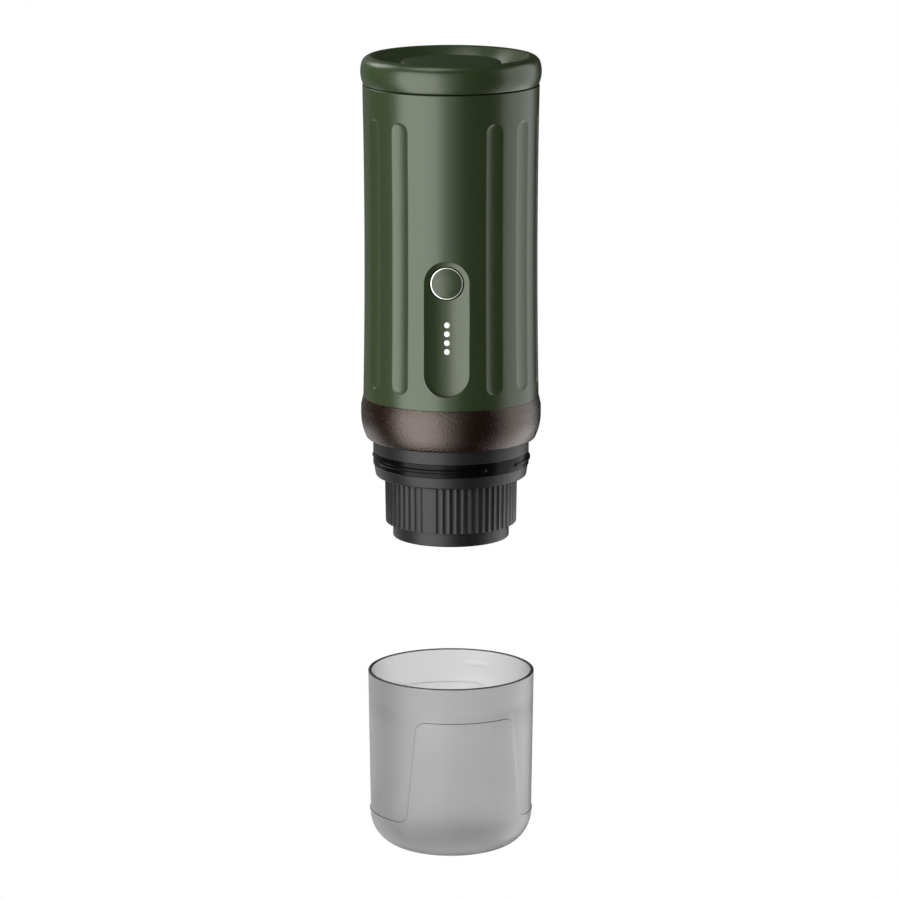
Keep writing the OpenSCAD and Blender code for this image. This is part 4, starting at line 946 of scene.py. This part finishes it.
def cup():
    """Frosted cup with a raised skirt, built as columns that follow the skirt's edge."""
    edge = skirt_edge()
    around = 2 * math.pi * CUP_R
    flat = [(math.radians(a) * CUP_R, z) for a, z in edge]
    flat = [(flat[-1][0] - around, flat[-1][1]), *flat, (flat[0][0] + around, flat[0][1])]
    # The skirt's step: the edge, moved aside by small shifts, from the skirt's face to the wall's
    loops = []
    for shift in (-0.16, -0.05, 0.05, 0.16):
        loop = []
        for (px, pz), (x, z), (nx, nz) in zip(flat, flat[1:], flat[2:]):
            along = Vector((nx - px, nz - pz)).normalized()
            loop.append((math.degrees((x - along.y * shift) / CUP_R), z + along.x * shift))
        loops.append(loop)

    def on_wall(loop, out):
        return [facing(a, CUP_FOOT_R + CUP_FLARE * z / CUP_RIM + out, 0, z) for a, z in loop]

    def level(turns, r, z):
        return [facing(a, r, 0, z) for a in turns]

    turns, base = [a for a, z in edge], CUP_CORNER + 0.25
    corner = arc(CUP_FOOT_R + SKIRT_PROUD - CUP_CORNER, CUP_CORNER, CUP_CORNER, -90, 1, 20)
    rows = [level(turns, r, z) for r, z in [(0.0, 0), (6.0, 0), (12.0, 0), (17.0, 0)] + corner]
    rows += [on_wall([(a, base + (z - base) * f) for a, z in loops[0]], SKIRT_PROUD)
             for f in (0.0, 0.33, 0.66)]
    skirt_row = len(rows)
    rows += [on_wall(loop, out)
             for loop, out in zip(loops, (SKIRT_PROUD, SKIRT_PROUD - 0.04, 0.04, 0.0))]
    rows += [on_wall([(a, z + (CUP_RIM - 1.3 - z) * f) for a, z in loops[-1]], 0)
             for f in (0.3, 0.65, 1.0)]
    turns, rim_row = [a for a, z in loops[-1]], len(rows) - 1
    edge_r = 0.35
    lip = arc(33.75, CUP_RIM - edge_r, edge_r, 0, 90, 5)
    lip += arc(33.05, CUP_RIM - edge_r, edge_r, 90, 180, 5)
    rows += [level(turns, r, z) for r, z in lip + [(32.7, CUP_RIM - 1.0)]]
    # Face strips that take the near-black material: painted shade along the skirt's step and round
    # the rim's lip
    painted_shade_strips = [skirt_row, skirt_row + 1, *range(rim_row + 1, len(rows) - 2)]
    key_r, key_top, key_foot = 32.66, 69.5, 66.1
    for t, z in zip(even(0, 2 * math.pi, 12), even(key_top, key_foot, 12)):
        share = 0.5 - 0.5 * math.cos(t)
        rows.append([facing(a, key_r - share * key_rise(a), 0, z) for a in turns])
    inner = [(32.62, 63.5), (32.55, 61.5), (32.1, 60.6), (31.9, 50), (31.75, 35), (31.6, 22),
             (31.5, 15.1), *arc(19.0, 15.1, 12.5, 0, -90, 16)[1:], (13, 2.6), (7, 2.6), (0, 2.6)]
    rows += [level(turns, r, z) for r, z in inner]
    quilt = Quilt()
    quilt.rows(rows, closed=True)
    mesh = quilt.mesh("cup")
    for strip in painted_shade_strips:
        for i in range(len(edge)):
            mesh.polygons[strip * len(edge) + i].material_index = 1
    dress(finished("smoky_cup", mesh, 40), [SMOKE, SMOKE_PAINTED_SHADE], "cup", "smoky_plastic", "cup")


# ---- Pieces inside, whose solids have the right shape ----

INSIDE = {
    CHARCOAL: ("grey_plastic", "port_bezel heater_carrier cell_tray_top cell_tray_bottom "
                               "pump_body chassis group_head"),
    STEEL: ("steel", "tact_switch charging_socket water_tank thermostat cell_links motor_can "
                     "shower_screen shower_screw filter_basket basket_screen body_screws"),
    SILICONE: ("silicone", "lid_seal inlet_hose outlet_hose group_gasket"),
    RUBBER: ("black_rubber", "port_cover pump_mount"),
    BOARD: ("board_green", "control_board port_board main_board"),
    GLOSS_BLACK: ("black_plastic", "switch_plunger board_parts"),
    CELL_WRAP: ("cell_wrap", "cell_1 cell_2 cell_3"),
    COPPER: ("copper_winding", "motor_rotor"),
    CAST: ("cast_aluminium", "heater"),
    MINERAL: ("mineral_board", "heat_shield"),
    WHITE: ("white_plastic", "light_chips"),
    RED_WIRE: ("red_wire", "power_leads"),
}


def inside_pieces():
    """Welds a copy of each inner solid so that its round faces shade smoothly."""
    bodies = frame["record"]["behaviour"]["bodies"]
    body_of = {name: body for body, members in bodies.items() for name in members}
    for material, (slot, names) in INSIDE.items():
        for name in names.split():
            copy = frame["nodes"][name].data.copy()
            piece = finished(name + "_piece", copy, 30, weld=2e-6, unit=1)
            dress(piece, [material], body_of[name], slot, name)


# ---- Studio ----

CAMERA_TURN, CAMERA_AWAY, CAMERA_UP = 2.9, 1.9556, 0.5852
AIM_UP, AIM_ASIDE = 0.166, -0.0004
PAPER_HALF, PAPER_Z = 9, -0.0004
WHITE_LIGHT = (1, 1, 1, 1)


def place(turn, distance, height):
    """Point at a heading from the camera's own, to the right of it, seen from the machine."""
    t = math.radians(CAMERA_TURN + turn)
    return Vector((distance * math.sin(t), -distance * math.cos(t), height))


def aimed(obj, spot, target):
    obj.location = spot
    obj.rotation_euler = (target - spot).to_track_quat("-Z", "Y").to_euler()


def softbox(name, turn, distance, height, width, tall, power, tilt=None, glossy=True):
    """Lamp that faces the main axis, level or at the height given by tilt. One that isn't glossy
    lights the pieces but shows in no reflection and through no clear wall."""
    lamp = bpy.data.lights.new(name, "AREA")
    lamp.shape, lamp.size, lamp.size_y, lamp.energy = "RECTANGLE", width, tall, power
    obj = linked(name, lamp)
    aimed(obj, place(turn, distance, height), Vector((0, 0, height if tilt is None else tilt)))
    obj.visible_glossy = glossy
    obj.visible_transmission = glossy


def camera():
    cam = bpy.data.cameras.new("camera")
    cam.lens, cam.sensor_width, cam.clip_end = 196.0, 36.0, 50
    eye = linked("camera", cam)
    t = math.radians(CAMERA_TURN)
    shift = Vector((math.cos(t), math.sin(t), 0)) * AIM_ASIDE
    aimed(eye, place(0, CAMERA_AWAY, CAMERA_UP) + shift, Vector((0, 0, AIM_UP)) + shift)
    bpy.context.scene.camera = eye


def emptied(holder):
    """Node tree of a world or a material, with nothing in it."""
    holder.use_nodes = True
    holder.node_tree.nodes.clear()
    return holder.node_tree


def studio():
    """White surround and paper that the camera sees as plain white, and the lamps."""
    scene = bpy.context.scene
    scene.view_settings.view_transform = "Standard"
    scene.view_settings.look = "None"
    camera()

    scene.world = bpy.data.worlds.new("studio")
    tree = emptied(scene.world)
    seen = add(tree, "ShaderNodeLightPath", out="Is Camera Ray")
    dim = add(tree, "ShaderNodeBackground", WHITE_LIGHT, 0.03)
    bright = add(tree, "ShaderNodeBackground", WHITE_LIGHT, 1.0)
    mixed = add(tree, "ShaderNodeMixShader", seen, dim, bright)
    tree.links.new(mixed, tree.nodes.new("ShaderNodeOutputWorld").inputs[0])

    quilt = Quilt()
    corners = [(x * PAPER_HALF, y * PAPER_HALF, PAPER_Z)
               for x, y in ((-1, -1), (1, -1), (1, 1), (-1, 1))]
    quilt.faces.append(tuple(quilt.row(corners)))
    floor = linked("floor", quilt.mesh("floor"))
    paper = bpy.data.materials.new("white_paper")
    tree = emptied(paper)
    path = add(tree, "ShaderNodeLightPath").node.outputs
    seen = calc(tree, "MAXIMUM", path["Is Camera Ray"], path["Is Transmission Ray"])
    lit = add(tree, "ShaderNodeBsdfDiffuse", (0.8, 0.8, 0.8, 1))
    glow = add(tree, "ShaderNodeEmission", WHITE_LIGHT, 1.0)
    mixed = add(tree, "ShaderNodeMixShader", seen, lit, glow)
    tree.links.new(mixed, tree.nodes.new("ShaderNodeOutputMaterial").inputs[0])
    floor.data.materials.append(paper)
    floor.visible_glossy = False

    softbox("key", -42.5, 0.9, -0.1, 1.02, 1.75, 24.6)
    softbox("key_edge", -3, 0.9, -0.1, 0.32, 1.75, 1.7)
    softbox("right", 102, 0.9, 0.0, 1.1, 2.0, 11.8)
    softbox("right_low", 122, 0.9, -0.55, 0.8, 0.9, 2.3)
    softbox("left", -100, 0.9, 0.1, 0.8, 1.2, 17, glossy=False)
    softbox("far_left", -150, 0.9, 0.1, 0.9, 1.6, 0.8)
    softbox("far_left_low", -138, 0.9, -0.55, 0.8, 0.9, 1.7)
    softbox("dish", -125, 0.84, 0.88, 0.5, 0.5, 3.2, tilt=0.33)
    softbox("top_left", -60, 0.35, 1.3, 0.6, 0.6, 3.8, tilt=0.33)
    softbox("top", 0, 0.001, 1.5, 0.7, 0.7, 7, tilt=0.3, glossy=False)


for build in (sleeve, panel, button, status_lights, band, collar, lock_ring, grip_ring, brew_cap,
              spout_plate, lid_shell, lid_disc, lid_liner, tank_neck, cup, inside_pieces, studio):
    build()
